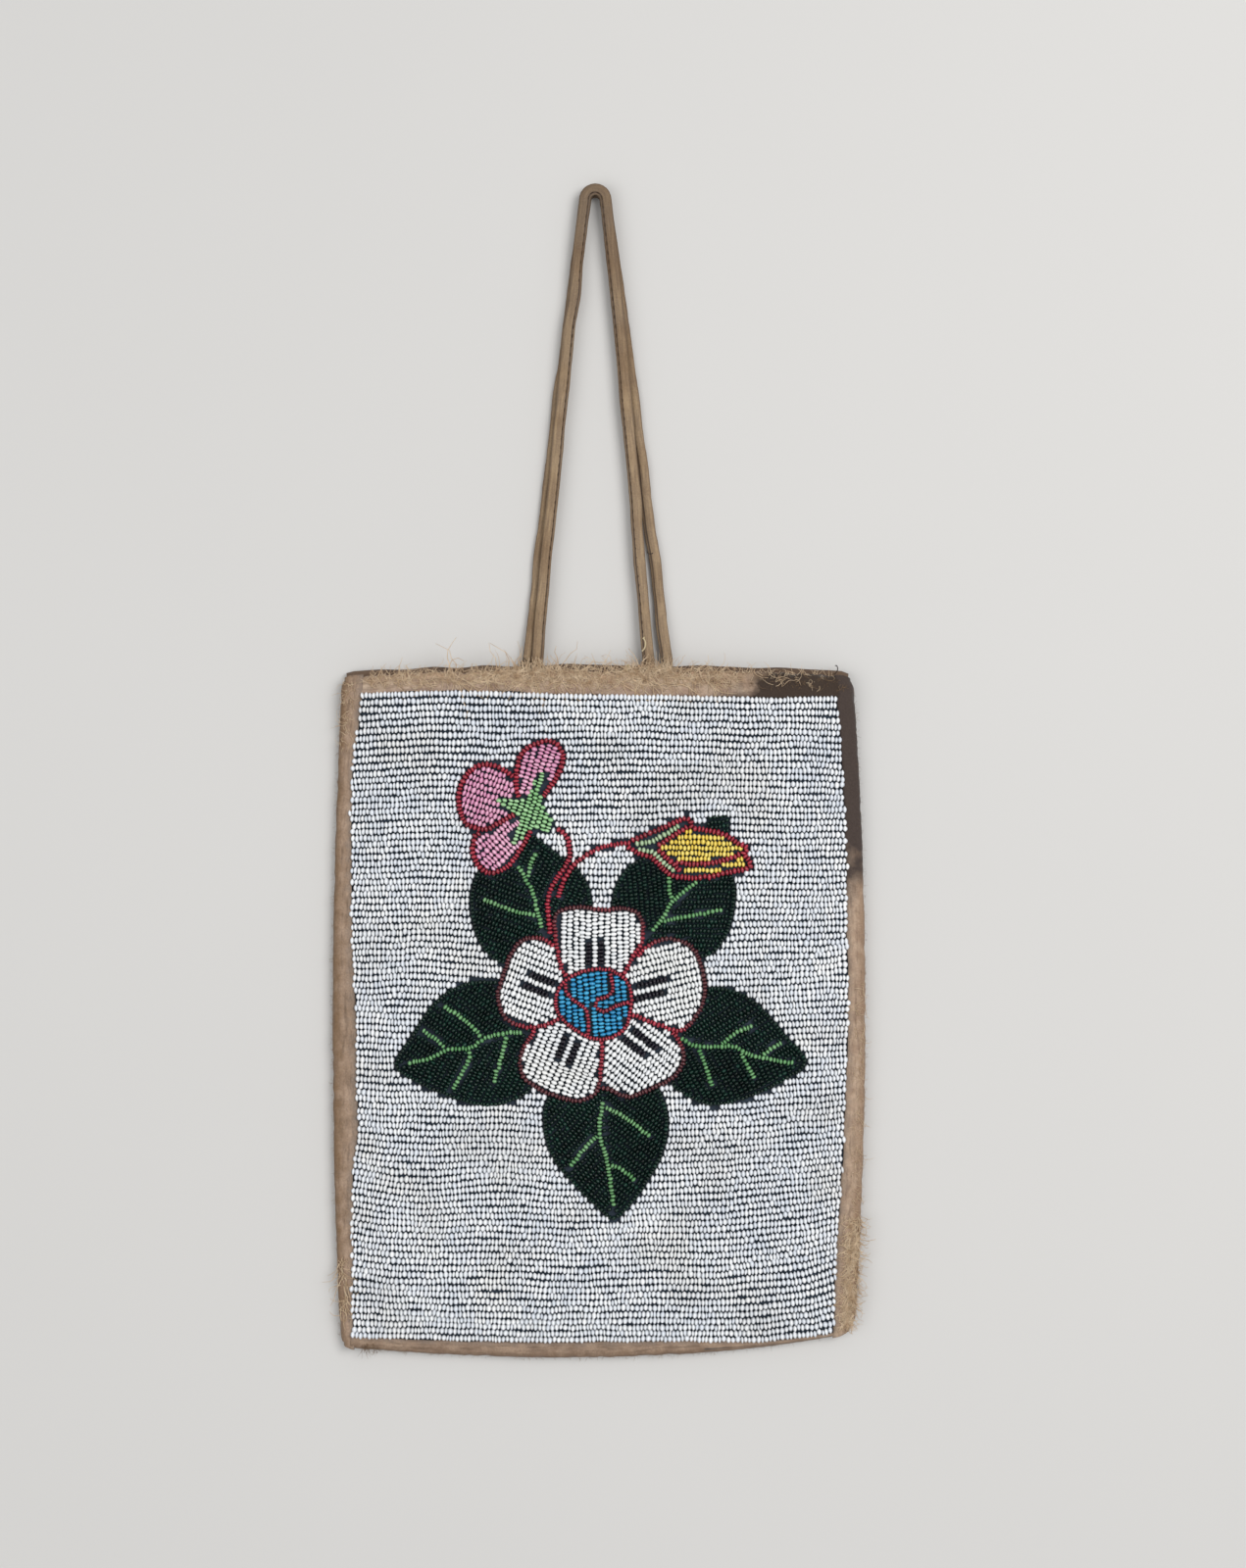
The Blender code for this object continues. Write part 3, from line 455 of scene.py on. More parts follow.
@dataclass(frozen=True)
class FlowerSize:
    """How large the beads of each part of the flowers are beside those of the ground."""

    curl: float = 0.66
    centre: float = 0.98
    centre_edge: float = 0.64
    petal: float = 0.98
    petal_edge: float = 0.78
    stamen: float = 0.98
    stamen_reach: float = 0.0016
    stem: float = 0.86
    calyx: float = 0.86
    pink: float = 0.94
    pink_edge: float = 0.9
    bud: float = 0.86
    bud_edge: float = 0.95
    bud_string: float = 0.92
    leaf: float = 0.76
    vein: float = 0.8


@dataclass(frozen=True)
class GroundSize:
    """How the rows of the white ground wander, and how they follow the edges."""

    margin: float = 0.32
    end_reach: float = 0.0004
    end_spread: float = 0.00035
    sway: float = 0.0008
    ripple: float = 0.0003
    own_cell: float = 0.007
    own: float = 0.00014
    loose: float = 0.00012
    loose_below: float = 0.03
    calm: float = 0.008
    calm_low: float = 0.6
    calm_high: float = 0.3
    follow: float = 0.022


@dataclass(frozen=True)
class StrapSize:
    """The two straps, from their feet in the mouth to the loop that they share."""

    width: float = 0.0039
    thickness: float = 0.0026
    rise: float = 0.1622
    front_feet: float = 0.0374
    back_feet: float = 0.0466
    front_shift: float = -0.0016
    loop_radius: float = 0.0034
    loop_shift: float = -0.0008
    tuck: float = 0.0080
    settle: float = 0.0300
    flat_share: float = 0.866
    bulge: float = 0.0006
    middle: float = 0.18
    step: float = 0.0009
    sides: int = 20
    squareness: float = 0.8
    wave: float = 0.00028
    width_change: float = 0.05
    tall: float = 0.9
    tall_change: float = 0.04
    bump: float = 0.035
    seam_turn: float = 54.0
    seam_depth: float = 0.16
    seam_width: float = 0.2
    # The painted shade in the seam groove, its width there, and the painted shade on the rounded
    # sides.
    seam_painted_shade: float = 0.6
    seam_painted_shade_width: float = 0.16
    edge_painted_shade: float = 0.75
    stitch_pitch: float = 0.0031
    stitch_length: float = 0.0012
    stitch_radius: float = 0.00014
    stitch_aside: float = 0.27
    stitch_rise: tuple[float, float, float] = (0.33, 0.4, 0.33)
    stitch_end: float = 0.02
    leg_steps: int = 90
    loop_steps: int = 17
    tuck_steps: int = 8


# Nodes and finishes

def linear(code: str) -> Colour:
    """Turns a hex colour into the linear colour that a shader takes.

    Args:
        code: Six hex digits with or without a leading hash.

    Returns:
        Red, green, blue and an alpha of 1.
    """
    text = code.lstrip("#")
    parts = [int(text[i:i + 2], 16) / 255 for i in (0, 2, 4)]
    low, high = 0.04045, 12.92
    red, green, blue = (p / high if p <= low else ((p + 0.055) / 1.055) ** 2.4 for p in parts)
    return red, green, blue, 1.0


def add_node(tree: Tree, kind: str, inputs: dict | None = None, **settings: str) -> bpy.types.Node:
    """Adds a node, sets it and joins it up.

    Args:
        tree: The node tree.
        kind: The node's type name.
        inputs: A value or an output socket for each input, by name or number.
        **settings: Properties of the node.

    Returns:
        The node.
    """
    node = tree.nodes.new(kind)
    for name, value in settings.items():
        setattr(node, name, value)
    for key, value in (inputs or {}).items():
        if isinstance(value, Socket):
            tree.links.new(value, node.inputs[key])
        else:
            node.inputs[key].default_value = value
    return node


def mixed(tree: Tree, factor: Socket | float, first: Socket | Colour,
          second: Socket | Colour) -> Socket:
    """Mixes two colours.

    Args:
        tree: The node tree.
        factor: A value or a socket from 0 to 1.
        first: The colour at 0.
        second: The colour at 1.

    Returns:
        The mixed colour's socket.
    """
    node = add_node(tree, "ShaderNodeMix", {0: factor, 6: first, 7: second}, data_type="RGBA")
    return node.outputs[2]


def ranged(tree: Tree, value: Socket, low: float, high: float) -> Socket:
    """Stretches a value from low to high over 0 to 1, and holds it there.

    Args:
        tree: The node tree.
        value: The value's socket.
        low: What becomes 0.
        high: What becomes 1.

    Returns:
        The stretched value's socket.
    """
    node = add_node(tree, "ShaderNodeMapRange", {"Value": value, "From Min": low, "From Max": high})
    return node.outputs[0]


def noise(tree: Tree, vector: Socket, size: float, detail: float = 3.0) -> Socket:
    """Noise with blotches of about a given size.

    Args:
        tree: The node tree.
        vector: The coordinates' socket, in metres.
        size: The blotches' size in metres.
        detail: How many finer layers it has.

    Returns:
        The noise's socket.
    """
    inputs = {"Vector": vector, "Scale": 1 / size, "Detail": detail}
    return add_node(tree, "ShaderNodeTexNoise", inputs).outputs[0]


def new_material(name: str) -> tuple[Material, Tree]:
    """Makes an empty Principled material.

    Args:
        name: The material's name.

    Returns:
        The material and its node tree.
    """
    made = bpy.data.materials.new(name)
    made.use_nodes = True
    return made, made.node_tree


def surface(tree: Tree, colour: Socket, values: dict[str, float],
            height: Socket | None = None, bump: tuple[float, float] = (0.0, 0.0)) -> None:
    """Joins a colour, plain values and a bump to the Principled shader.

    Args:
        tree: The material's node tree.
        colour: The colour's socket.
        values: A plain value for each of the shader's inputs that needs one.
        height: The bump's socket, or nothing.
        bump: The bump's strength and its depth in metres.
    """
    shader = tree.nodes["Principled BSDF"]
    tree.links.new(colour, shader.inputs["Base Color"])
    for name, value in values.items():
        shader.inputs[name].default_value = value
    if height is not None:
        inputs = {"Height": height, "Strength": bump[0], "Distance": bump[1]}
        node = add_node(tree, "ShaderNodeBump", inputs)
        tree.links.new(node.outputs[0], shader.inputs["Normal"])


def own_values(tree: Tree, name: str, stretch: tuple[float, float, float]
               ) -> tuple[Socket, Socket]:
    """Reads a piece's own attribute, whose y runs along the piece in metres.

    Args:
        tree: The node tree.
        name: The attribute's name.
        stretch: How much it is stretched along each axis.

    Returns:
        The attribute's x, and the stretched attribute.
    """
    own = add_node(tree, "ShaderNodeAttribute", attribute_name=name).outputs["Vector"]
    first = add_node(tree, "ShaderNodeSeparateXYZ", {0: own}).outputs[0]
    inputs = {0: own, 1: stretch}
    stretched = add_node(tree, "ShaderNodeVectorMath", inputs, operation="MULTIPLY").outputs[0]
    return first, stretched


def raised(tree: Tree, value: Socket, factor: float, base: Socket) -> Socket:
    """Multiplies a value and adds it to another.

    Args:
        tree: The node tree.
        value: The value's socket.
        factor: What it is multiplied by.
        base: The socket that it is added to.

    Returns:
        The sum's socket.
    """
    inputs = {0: value, 1: factor, 2: base}
    return add_node(tree, "ShaderNodeMath", inputs, operation="MULTIPLY_ADD").outputs[0]


@dataclass(frozen=True)
class BeadFinish:
    """Glass of one colour: each bead takes a shade between two, and painted shade darkens its ends,
    where it meets the next bead.
    """

    name: str
    slot: str
    shade: str
    other: str
    end: str
    worn: str
    roughness: float = 0.24
    coat: float = 0.3
    coat_roughness: float = 0.12
    end_shade_share: float = 0.5
    shine: float = 0.5

    def build(self) -> Material:
        """Makes the glass material, which reads the beads' own attribute.

        Returns:
            The material.
        """
        made, tree = new_material(self.name)
        own = add_node(tree, "ShaderNodeAttribute", attribute_name="bead").outputs["Color"]
        shade, end, worn = add_node(tree, "ShaderNodeSeparateColor", {"Color": own}).outputs[:3]
        colour = mixed(tree, shade, linear(self.shade), linear(self.other))
        colour = mixed(tree, worn, colour, linear(self.worn))
        # Painted shade: the ends of each bead darken towards the end colour, where the beads meet.
        inputs = {0: end, 1: self.end_shade_share}
        darker = add_node(tree, "ShaderNodeMath", inputs, operation="MULTIPLY").outputs[0]
        colour = mixed(tree, darker, colour, linear(self.end))
        surface(tree, colour, {"Roughness": self.roughness, "Specular IOR Level": self.shine,
                               "Coat Weight": self.coat, "Coat Roughness": self.coat_roughness})
        return made


@dataclass(frozen=True)
class SuedeFinish:
    """Brushed cloth: shades from the fold to the cut edge, soft blotches, a stain and fine nap.

    The stain lies where the chosen axis, in metres, passes stain_from, so by default there is none.
    """

    name: str
    shade: str
    other: str
    fold: str
    inner: str
    stain: str
    stain_from: float = 9.0
    stain_to: float = 10.0
    stain_axis: int = 1
    blotch: float = 0.005
    dull: str = "#3c2e25"
    dull_share: float = 0.45
    bump_low_tone: str = "#15100c"
    bump_low_share: float = 0.34
    ragged: float = 0.003
    patch: float = 0.009
    patch_reach: float = 0.04
    nap: float = 0.0006

    def build(self) -> Material:
        """Makes the suede material from object coordinates and the strip's own attribute.

        Returns:
            The material.
        """
        made, tree = new_material(self.name)
        spot = add_node(tree, "ShaderNodeTexCoord").outputs["Object"]
        blotches = ranged(tree, noise(tree, spot, self.blotch, 4.0), 0.35, 0.65)
        colour = mixed(tree, blotches, linear(self.shade), linear(self.other))
        deep, flow = own_values(tree, "strip", (6.0, 130.0, 1.0))
        streak = ranged(tree, noise(tree, flow, 1.0, 5.0), 0.52, 0.3)
        dull = mixed(tree, self.dull_share, colour, linear(self.dull))
        colour = mixed(tree, streak, colour, dull)
        uneven = raised(tree, noise(tree, spot, self.ragged), 0.7, deep)
        colour = mixed(tree, ranged(tree, uneven, 0.86, 0.42), colour, linear(self.fold))
        colour = mixed(tree, ranged(tree, uneven, 1.0, 1.5), colour, linear(self.inner))
        along = add_node(tree, "ShaderNodeSeparateXYZ", {0: spot}).outputs[self.stain_axis]
        patchy = raised(tree, noise(tree, spot, self.patch, 5.0), self.patch_reach, along)
        stained = ranged(tree, patchy, self.stain_from, self.stain_to)
        colour = mixed(tree, stained, colour, linear(self.stain))
        nap = noise(tree, spot, self.nap)
        # Darker in the low spots of the nap noise, which also drives the bump.
        bump_low_colour = mixed(tree, self.bump_low_share, colour, linear(self.bump_low_tone))
        colour = mixed(tree, ranged(tree, nap, 0.1, 0.75), bump_low_colour, colour)
        values = {"Roughness": 0.95, "Specular IOR Level": 0.15, "Sheen Weight": 0.15,
                  "Sheen Roughness": 0.5}
        surface(tree, colour, values, nap, (0.7, 0.0004))
        return made


@dataclass(frozen=True)
class HideFinish:
    """Folded hide: brown with ochre streaks along the strap, painted shade on its rounded edges and
    in its seam groove, and darker handled places.
    """

    name: str = "Strap_Hide"
    shade: str = "#8f7961"
    streak: str = "#ab9273"
    edge: str = "#53443a"
    handled: str = "#6a4a28"
    handled_size: float = 0.016
    bump_low_tone: str = "#17100b"
    grain: float = 0.0006
    dark_from: float = 0.20
    dark_to: float = 0.27

    def build(self) -> Material:
        """Makes the hide material, which reads the straps' own attribute.

        Returns:
            The material.
        """
        made, tree = new_material(self.name)
        across, flow = own_values(tree, "hide", (3.0, 90.0, 3.0))
        streaks = ranged(tree, noise(tree, flow, 1 / 1.3, 5.0), 0.4, 0.66)
        colour = mixed(tree, streaks, linear(self.shade), linear(self.streak))
        # Painted shade on the strap's rounded sides and in its seam groove, read from the straps'
        # attribute.
        colour = mixed(tree, ranged(tree, across, 0.55, 1.0), colour, linear(self.edge))
        spot = add_node(tree, "ShaderNodeTexCoord").outputs["Object"]
        height = add_node(tree, "ShaderNodeSeparateXYZ", {0: spot}).outputs[1]
        darker = mixed(tree, 0.5, colour, linear(self.edge))
        colour = mixed(tree, ranged(tree, height, self.dark_from, self.dark_to), colour, darker)
        places = ranged(tree, noise(tree, spot, self.handled_size), 0.45, 0.72)
        colour = mixed(tree, places, colour, mixed(tree, 0.45, colour, linear(self.handled)))
        grain = noise(tree, spot, self.grain)
        # Darker in the low spots of the grain noise, which also drives the bump.
        bump_low_colour = mixed(tree, 0.3, colour, linear(self.bump_low_tone))
        colour = mixed(tree, ranged(tree, grain, 0.2, 0.8), bump_low_colour, colour)
        surface(tree, colour, {"Roughness": 0.78, "Specular IOR Level": 0.3}, grain,
                (0.45, 0.0003))
        return made


@dataclass(frozen=True)
class PlainFinish:
    """One colour with a slight change of shade over the piece."""

    name: str
    shade: str
    other: str
    roughness: float = 0.9
    blotch: float = 0.004

    def build(self) -> Material:
        """Makes the material from object coordinates.

        Returns:
            The material.
        """
        made, tree = new_material(self.name)
        spot = add_node(tree, "ShaderNodeTexCoord").outputs["Object"]
        blend = ranged(tree, noise(tree, spot, self.blotch), 0.3, 0.7)
        colour = mixed(tree, blend, linear(self.shade), linear(self.other))
        surface(tree, colour, {"Roughness": self.roughness, "Specular IOR Level": 0.25})
        return made


class Glass(Enum):
    """The colours of the seed beads: two shades, the painted shade at the ends where beads meet,
    and the worn beads' colour.
    """

    # Opaque white glass with a pearl lustre: the ground.
    WHITE = BeadFinish("Glass_Pearl_White", "white_beads",
                       "#e0e5ed", "#ffffff", "#5c6570", "#e0dcd4")
    # Opaque white glass, a little warmer: the rose's petals.
    CREAM = BeadFinish("Glass_Cream_White", "cream_beads",
                       "#eff1f3", "#fffffd", "#7f8286", "#dcd8cc")
    # Red glass over a pale core: outlines, curls and stems.
    RED = BeadFinish("Glass_Dark_Red", "red_beads",
                     "#8a1a2b", "#b93346", "#2c0710", "#4c2a2c", coat=0.25, end_shade_share=0.8)
    # Clear turquoise glass: the rose's middle.
    BLUE = BeadFinish("Glass_Turquoise", "blue_beads",
                      "#1784bd", "#49b9e2", "#0a3553", "#1a6b90", coat=0.5, end_shade_share=0.8)
    # Purple glass so dark that it looks black: the stamens.
    DARK = BeadFinish("Glass_Near_Black", "dark_beads",
                      "#0c0812", "#1a1322", "#050307", "#130e18", coat=0.2, shine=0.35)
    # Clear dark green glass: the leaves.
    GREEN = BeadFinish("Glass_Dark_Green", "green_beads",
                       "#03120e", "#0b2a20", "#010403", "#153a2f", 0.2, coat=0.12, shine=0.3)
    # Opaque mid green glass: the veins.
    VEIN = BeadFinish("Glass_Mid_Green", "vein_beads",
                      "#4f8a50", "#7fb47a", "#142e18", "#86a97c", end_shade_share=0.8)
    # Opaque light green glass: the pink flower's calyx.
    LIGHT = BeadFinish("Glass_Light_Green", "calyx_beads",
                       "#83bd7b", "#b0dca6", "#24401f", "#9cc493", end_shade_share=0.8)
    # Opaque grey-green glass: the bud's fork.
    PALE = BeadFinish("Glass_Pale_Green", "pale_beads",
                      "#9dbd90", "#c6dab6", "#33422b", "#b3bfa2", end_shade_share=0.8)
    # Opaque pink glass: the pink flower.
    PINK = BeadFinish("Glass_Pink", "pink_beads",
                      "#dc93b8", "#f6c1d8", "#6b3a54", "#dba8bb", end_shade_share=0.7)
    # Opaque yellow glass: the bud.
    YELLOW = BeadFinish("Glass_Yellow", "yellow_beads",
                        "#f2cf45", "#fff08a", "#6e5810", "#e2c864", end_shade_share=0.7)


# Lines and shapes in the plane

def smooth(points: Array, closed: bool, pieces: int = 6) -> Array:
    """Follows the smooth curve through points.

    Args:
        points: Rows of x and y.
        closed: Whether the curve runs back to its start.
        pieces: How many pieces each span gets.

    Returns:
        Rows of x and y along the curve.
    """
    count = len(points)
    line = []
    for i in range(count if closed else count - 1):
        ends = [(i + k) % count if closed else min(max(i + k, 0), count - 1) for k in (-1, 0, 1, 2)]
        before, start, end, after = (points[k] for k in ends)
        for t in np.arange(pieces) / pieces:
            bend = (2 * before - 5 * start + 4 * end - after) * t ** 2
            bend = bend + (3 * start - before - 3 * end + after) * t ** 3
            line.append(start + ((end - before) * t + bend) / 2)
    if not closed:
        line.append(points[-1])
    return np.array(line)


def distance(points: Array, line: Array, closed: bool) -> Array:
    """Measures how far points lie from a line.

    Args:
        points: Rows of x and y.
        line: Rows of x and y along the line.
        closed: Whether the line runs back to its start.

    Returns:
        The distance of each point.
    """
    starts = line if closed else line[:-1]
    ends = np.roll(line, -1, axis=0) if closed else line[1:]
    along = ends - starts
    reach = points[:, None, :] - starts[None]
    part = np.clip((reach * along).sum(2) / np.maximum((along ** 2).sum(1), TINY), 0, 1)
    return np.sqrt(((reach - part[..., None] * along) ** 2).sum(2)).min(1)


def inside(points: Array, loop: Array) -> Array:
    """Tells which points lie within a closed line.

    Args:
        points: Rows of x and y.
        loop: Rows of x and y along the closed line.

    Returns:
        True or False for each point.
    """
    x, y = points[:, None, 0], points[:, None, 1]
    a, b = loop, np.roll(loop, -1, axis=0)
    crosses = (a[:, 1] > y) != (b[:, 1] > y)
    rise = np.where(b[:, 1] == a[:, 1], TINY, b[:, 1] - a[:, 1])
    left = x < (b[:, 0] - a[:, 0]) * (y - a[:, 1]) / rise + a[:, 0]
    return (crosses & left).sum(1) % 2 == 1


def travelled(line: Array) -> Array:
    """Measures how far along a line each of its points lies.

    Args:
        line: Rows of coordinates along the line.

    Returns:
        The distance of each point from the first one, along the line.
    """
    return np.concatenate([[0], np.cumsum(reduce(np.hypot, np.diff(line, axis=0).T))])


def at_runs(line: Array, run: Array, where: Array) -> Array:
    """Finds the points at given distances along a line.

    Args:
        line: Rows of coordinates along the line.
        run: How far along the line each of them lies.
        where: The distances that are looked up.

    Returns:
        Rows of coordinates.
    """
    return np.stack([np.interp(where, run, column) for column in line.T], 1)


def unit(vectors: Array) -> Array:
    """Gives vectors a length of one.

    Args:
        vectors: Vectors along the last axis.

    Returns:
        The vectors of length one.
    """
    return vectors / np.maximum(np.linalg.norm(vectors, axis=-1, keepdims=True), TINY)


def dense(line: Array, closed: bool, step: float) -> Array:
    """Puts points closely along a line.

    Args:
        line: Rows of x and y.
        closed: Whether the line runs back to its start.
        step: The spacing.

    Returns:
        Rows of x and y; a closed line ends where it starts.
    """
    path = np.vstack([line, line[:1]]) if closed else line
    run = travelled(path)
    return at_runs(path, run, np.linspace(0, run[-1], max(3, round(run[-1] / step))))


def shrunk(loop: Array, by: float) -> Array:
    """Moves a smooth closed line inwards.

    Args:
        loop: Rows of x and y.
        by: How far.

    Returns:
        The moved line.
    """
    ahead = np.roll(loop, -1, axis=0) - np.roll(loop, 1, axis=0)
    ahead /= np.maximum(np.hypot(*ahead.T)[:, None], TINY)
    area = (loop[:, 0] * np.roll(loop[:, 1], -1) - np.roll(loop[:, 0], -1) * loop[:, 1]).sum()
    return loop + np.stack([-ahead[:, 1], ahead[:, 0]], 1) * by * np.sign(area)


@dataclass
class SoftNoise:
    """Random values that change smoothly over the plane."""

    cell: float
    seed: int
    span: float = 0.4
    strength: float = 0.6

    def __post_init__(self) -> None:
        """Draws the random values at the corners of the cells."""
        count = int(self.span / self.cell) + 3
        self.values = np.random.default_rng(self.seed).normal(0, 1, (count, count))

    def at(self, x: Array, y: Array) -> Array:
        """Reads the noise.

        Args:
            x: Places across.
            y: Places up.

        Returns:
            A value for each place, mostly from -1 to 1.
        """
        top = len(self.values) - 2
        a = np.clip((x + self.span / 2) / self.cell, 0, top - 0.001)
        b = np.clip((y + self.span / 2) / self.cell, 0, top - 0.001)
        i, j = a.astype(int), b.astype(int)
        s, t = a - i, b - j
        s, t = s * s * (3 - 2 * s), t * t * (3 - 2 * t)
        v = self.values
        low = v[i, j] * (1 - s) + v[i + 1, j] * s
        high = v[i, j + 1] * (1 - s) + v[i + 1, j + 1] * s
        return (low * (1 - t) + high * t) * self.strength


# Meshes

def link_mesh(name: str, corners: Array, faces: Sequence[Array]) -> Object:
    """Makes an object from corners and faces of a few kinds.

    Args:
        name: The object's name.
        corners: Rows of x, y and z.
        faces: For each number of sides, rows of corner numbers.

    Returns:
        The object, in the scene.
    """
    mesh = bpy.data.meshes.new(name)
    mesh.vertices.add(len(corners))
    mesh.vertices.foreach_set("co", corners.astype(np.float32).ravel())
    sides = np.concatenate([np.full(len(f), f.shape[1]) for f in faces])
    mesh.loops.add(int(sides.sum()))
    mesh.loops.foreach_set("vertex_index",
                           np.concatenate([f.ravel() for f in faces]).astype(np.int32))
    mesh.polygons.add(len(sides))
    starts = np.concatenate([[0], np.cumsum(sides)[:-1]])
    mesh.polygons.foreach_set("loop_start", starts.astype(np.int32))
    mesh.polygons.foreach_set("use_smooth", np.ones(len(sides), bool))
    mesh.update(calc_edges=True)
    obj = bpy.data.objects.new(name, mesh)
    bpy.context.scene.collection.objects.link(obj)
    return obj


def set_colour(obj: Object, name: str, values: Array) -> None:
    """Stores a vector for each corner of the mesh.

    Args:
        obj: The object.
        name: The attribute's name.
        values: Rows of three numbers, one for each vertex.
    """
    layer = obj.data.attributes.new(name, "FLOAT_COLOR", "POINT")
    full = np.hstack([values, np.ones((len(values), 1))])
    layer.data.foreach_set("color", full.astype(np.float32).ravel())


def thick_sheet(name: str, grid: Array, thickness: Array) -> Object:
    """Makes a closed sheet of cloth from its middle surface.

    Args:
        name: The object's name.
        grid: Points of the middle surface, in rows and columns.
        thickness: The cloth's thickness at each point.

    Returns:
        The closed two-sided sheet.
    """
    rows, columns = grid.shape[:2]
    across, up = np.gradient(grid, axis=1), np.gradient(grid, axis=0)
    half = unit(np.cross(across, up)) * thickness[..., None] / 2
    corners = np.concatenate([(grid + half).reshape(-1, 3), (grid - half).reshape(-1, 3)])
    number = np.arange(rows * columns).reshape(rows, columns)
    other = number + rows * columns
    top = np.stack([number[:-1, :-1], number[:-1, 1:], number[1:, 1:], number[1:, :-1]], -1)
    below = np.stack([other[:-1, :-1], other[1:, :-1], other[1:, 1:], other[:-1, 1:]], -1)
    rim = np.concatenate([number[0, :], number[1:, -1], number[-1, -2::-1], number[-2:0:-1, 0]])
    after = np.roll(rim, -1)
    wall = np.stack([rim, rim + rows * columns, after + rows * columns, after], -1)
    faces = np.concatenate([top.reshape(-1, 4), below.reshape(-1, 4), wall])
    return link_mesh(name, corners, [faces])


def tube_faces(rows: int, sides: int, first: int = 0) -> tuple[Array, Array]:
    """Joins rings of corners into a closed tube.

    Args:
        rows: How many rings there are.
        sides: How many corners a ring has.
        first: The number of the first corner.

    Returns:
        The corner numbers of the wall's faces and of the two caps.
    """
    number = first + np.arange(rows * sides).reshape(rows, sides)
    after = np.roll(number, -1, axis=1)
    wall = np.stack([number[:-1], number[1:], after[1:], after[:-1]], -1).reshape(-1, 4)
    return wall, np.stack([number[0], number[-1][::-1]])


def tube_mesh(name: str, paths: Sequence[Array], radii: Sequence[Array], sides: int) -> Object:
    """Makes thin closed tubes, as for threads and fibres, in one object.

    Args:
        name: The object's name.
        paths: For each tube, rows of x, y and z.
        radii: For each tube, its radius at each row.
        sides: How many sides a tube has.

    Returns:
        The object.
    """
    corners, quads, caps, first = [], [], [], 0
    turn = np.arange(sides) * 2 * math.pi / sides
    for path, radius in zip(paths, radii):
        ahead = unit(np.gradient(path, axis=0))
        aside = unit(np.cross(ahead, UPWARDS))
        up = np.cross(aside, ahead)
        ring = (aside[:, None] * np.cos(turn)[None, :, None]
                + up[:, None] * np.sin(turn)[None, :, None])
        corners.append((path[:, None] + ring * radius[:, None, None]).reshape(-1, 3))
        wall, ends = tube_faces(len(path), sides, first)
        quads.append(wall)
        caps.append(ends)
        first += len(path) * sides
    return link_mesh(name, np.concatenate(corners), [np.concatenate(quads), np.concatenate(caps)])


def dress(obj: Object, material: Material, replaced: Sequence[str] = ()) -> None:
    """Gives a piece its finish and its place in the frame.

    Args:
        obj: The piece.
        material: Its material.
        replaced: The frame's nodes that it stands for.
    """
    obj.data.materials.append(material)
    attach(obj, "root")
    if replaced:
        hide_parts(*replaced)
    LOG.info("%s: %d faces", obj.name, len(obj.data.polygons))


# Beads

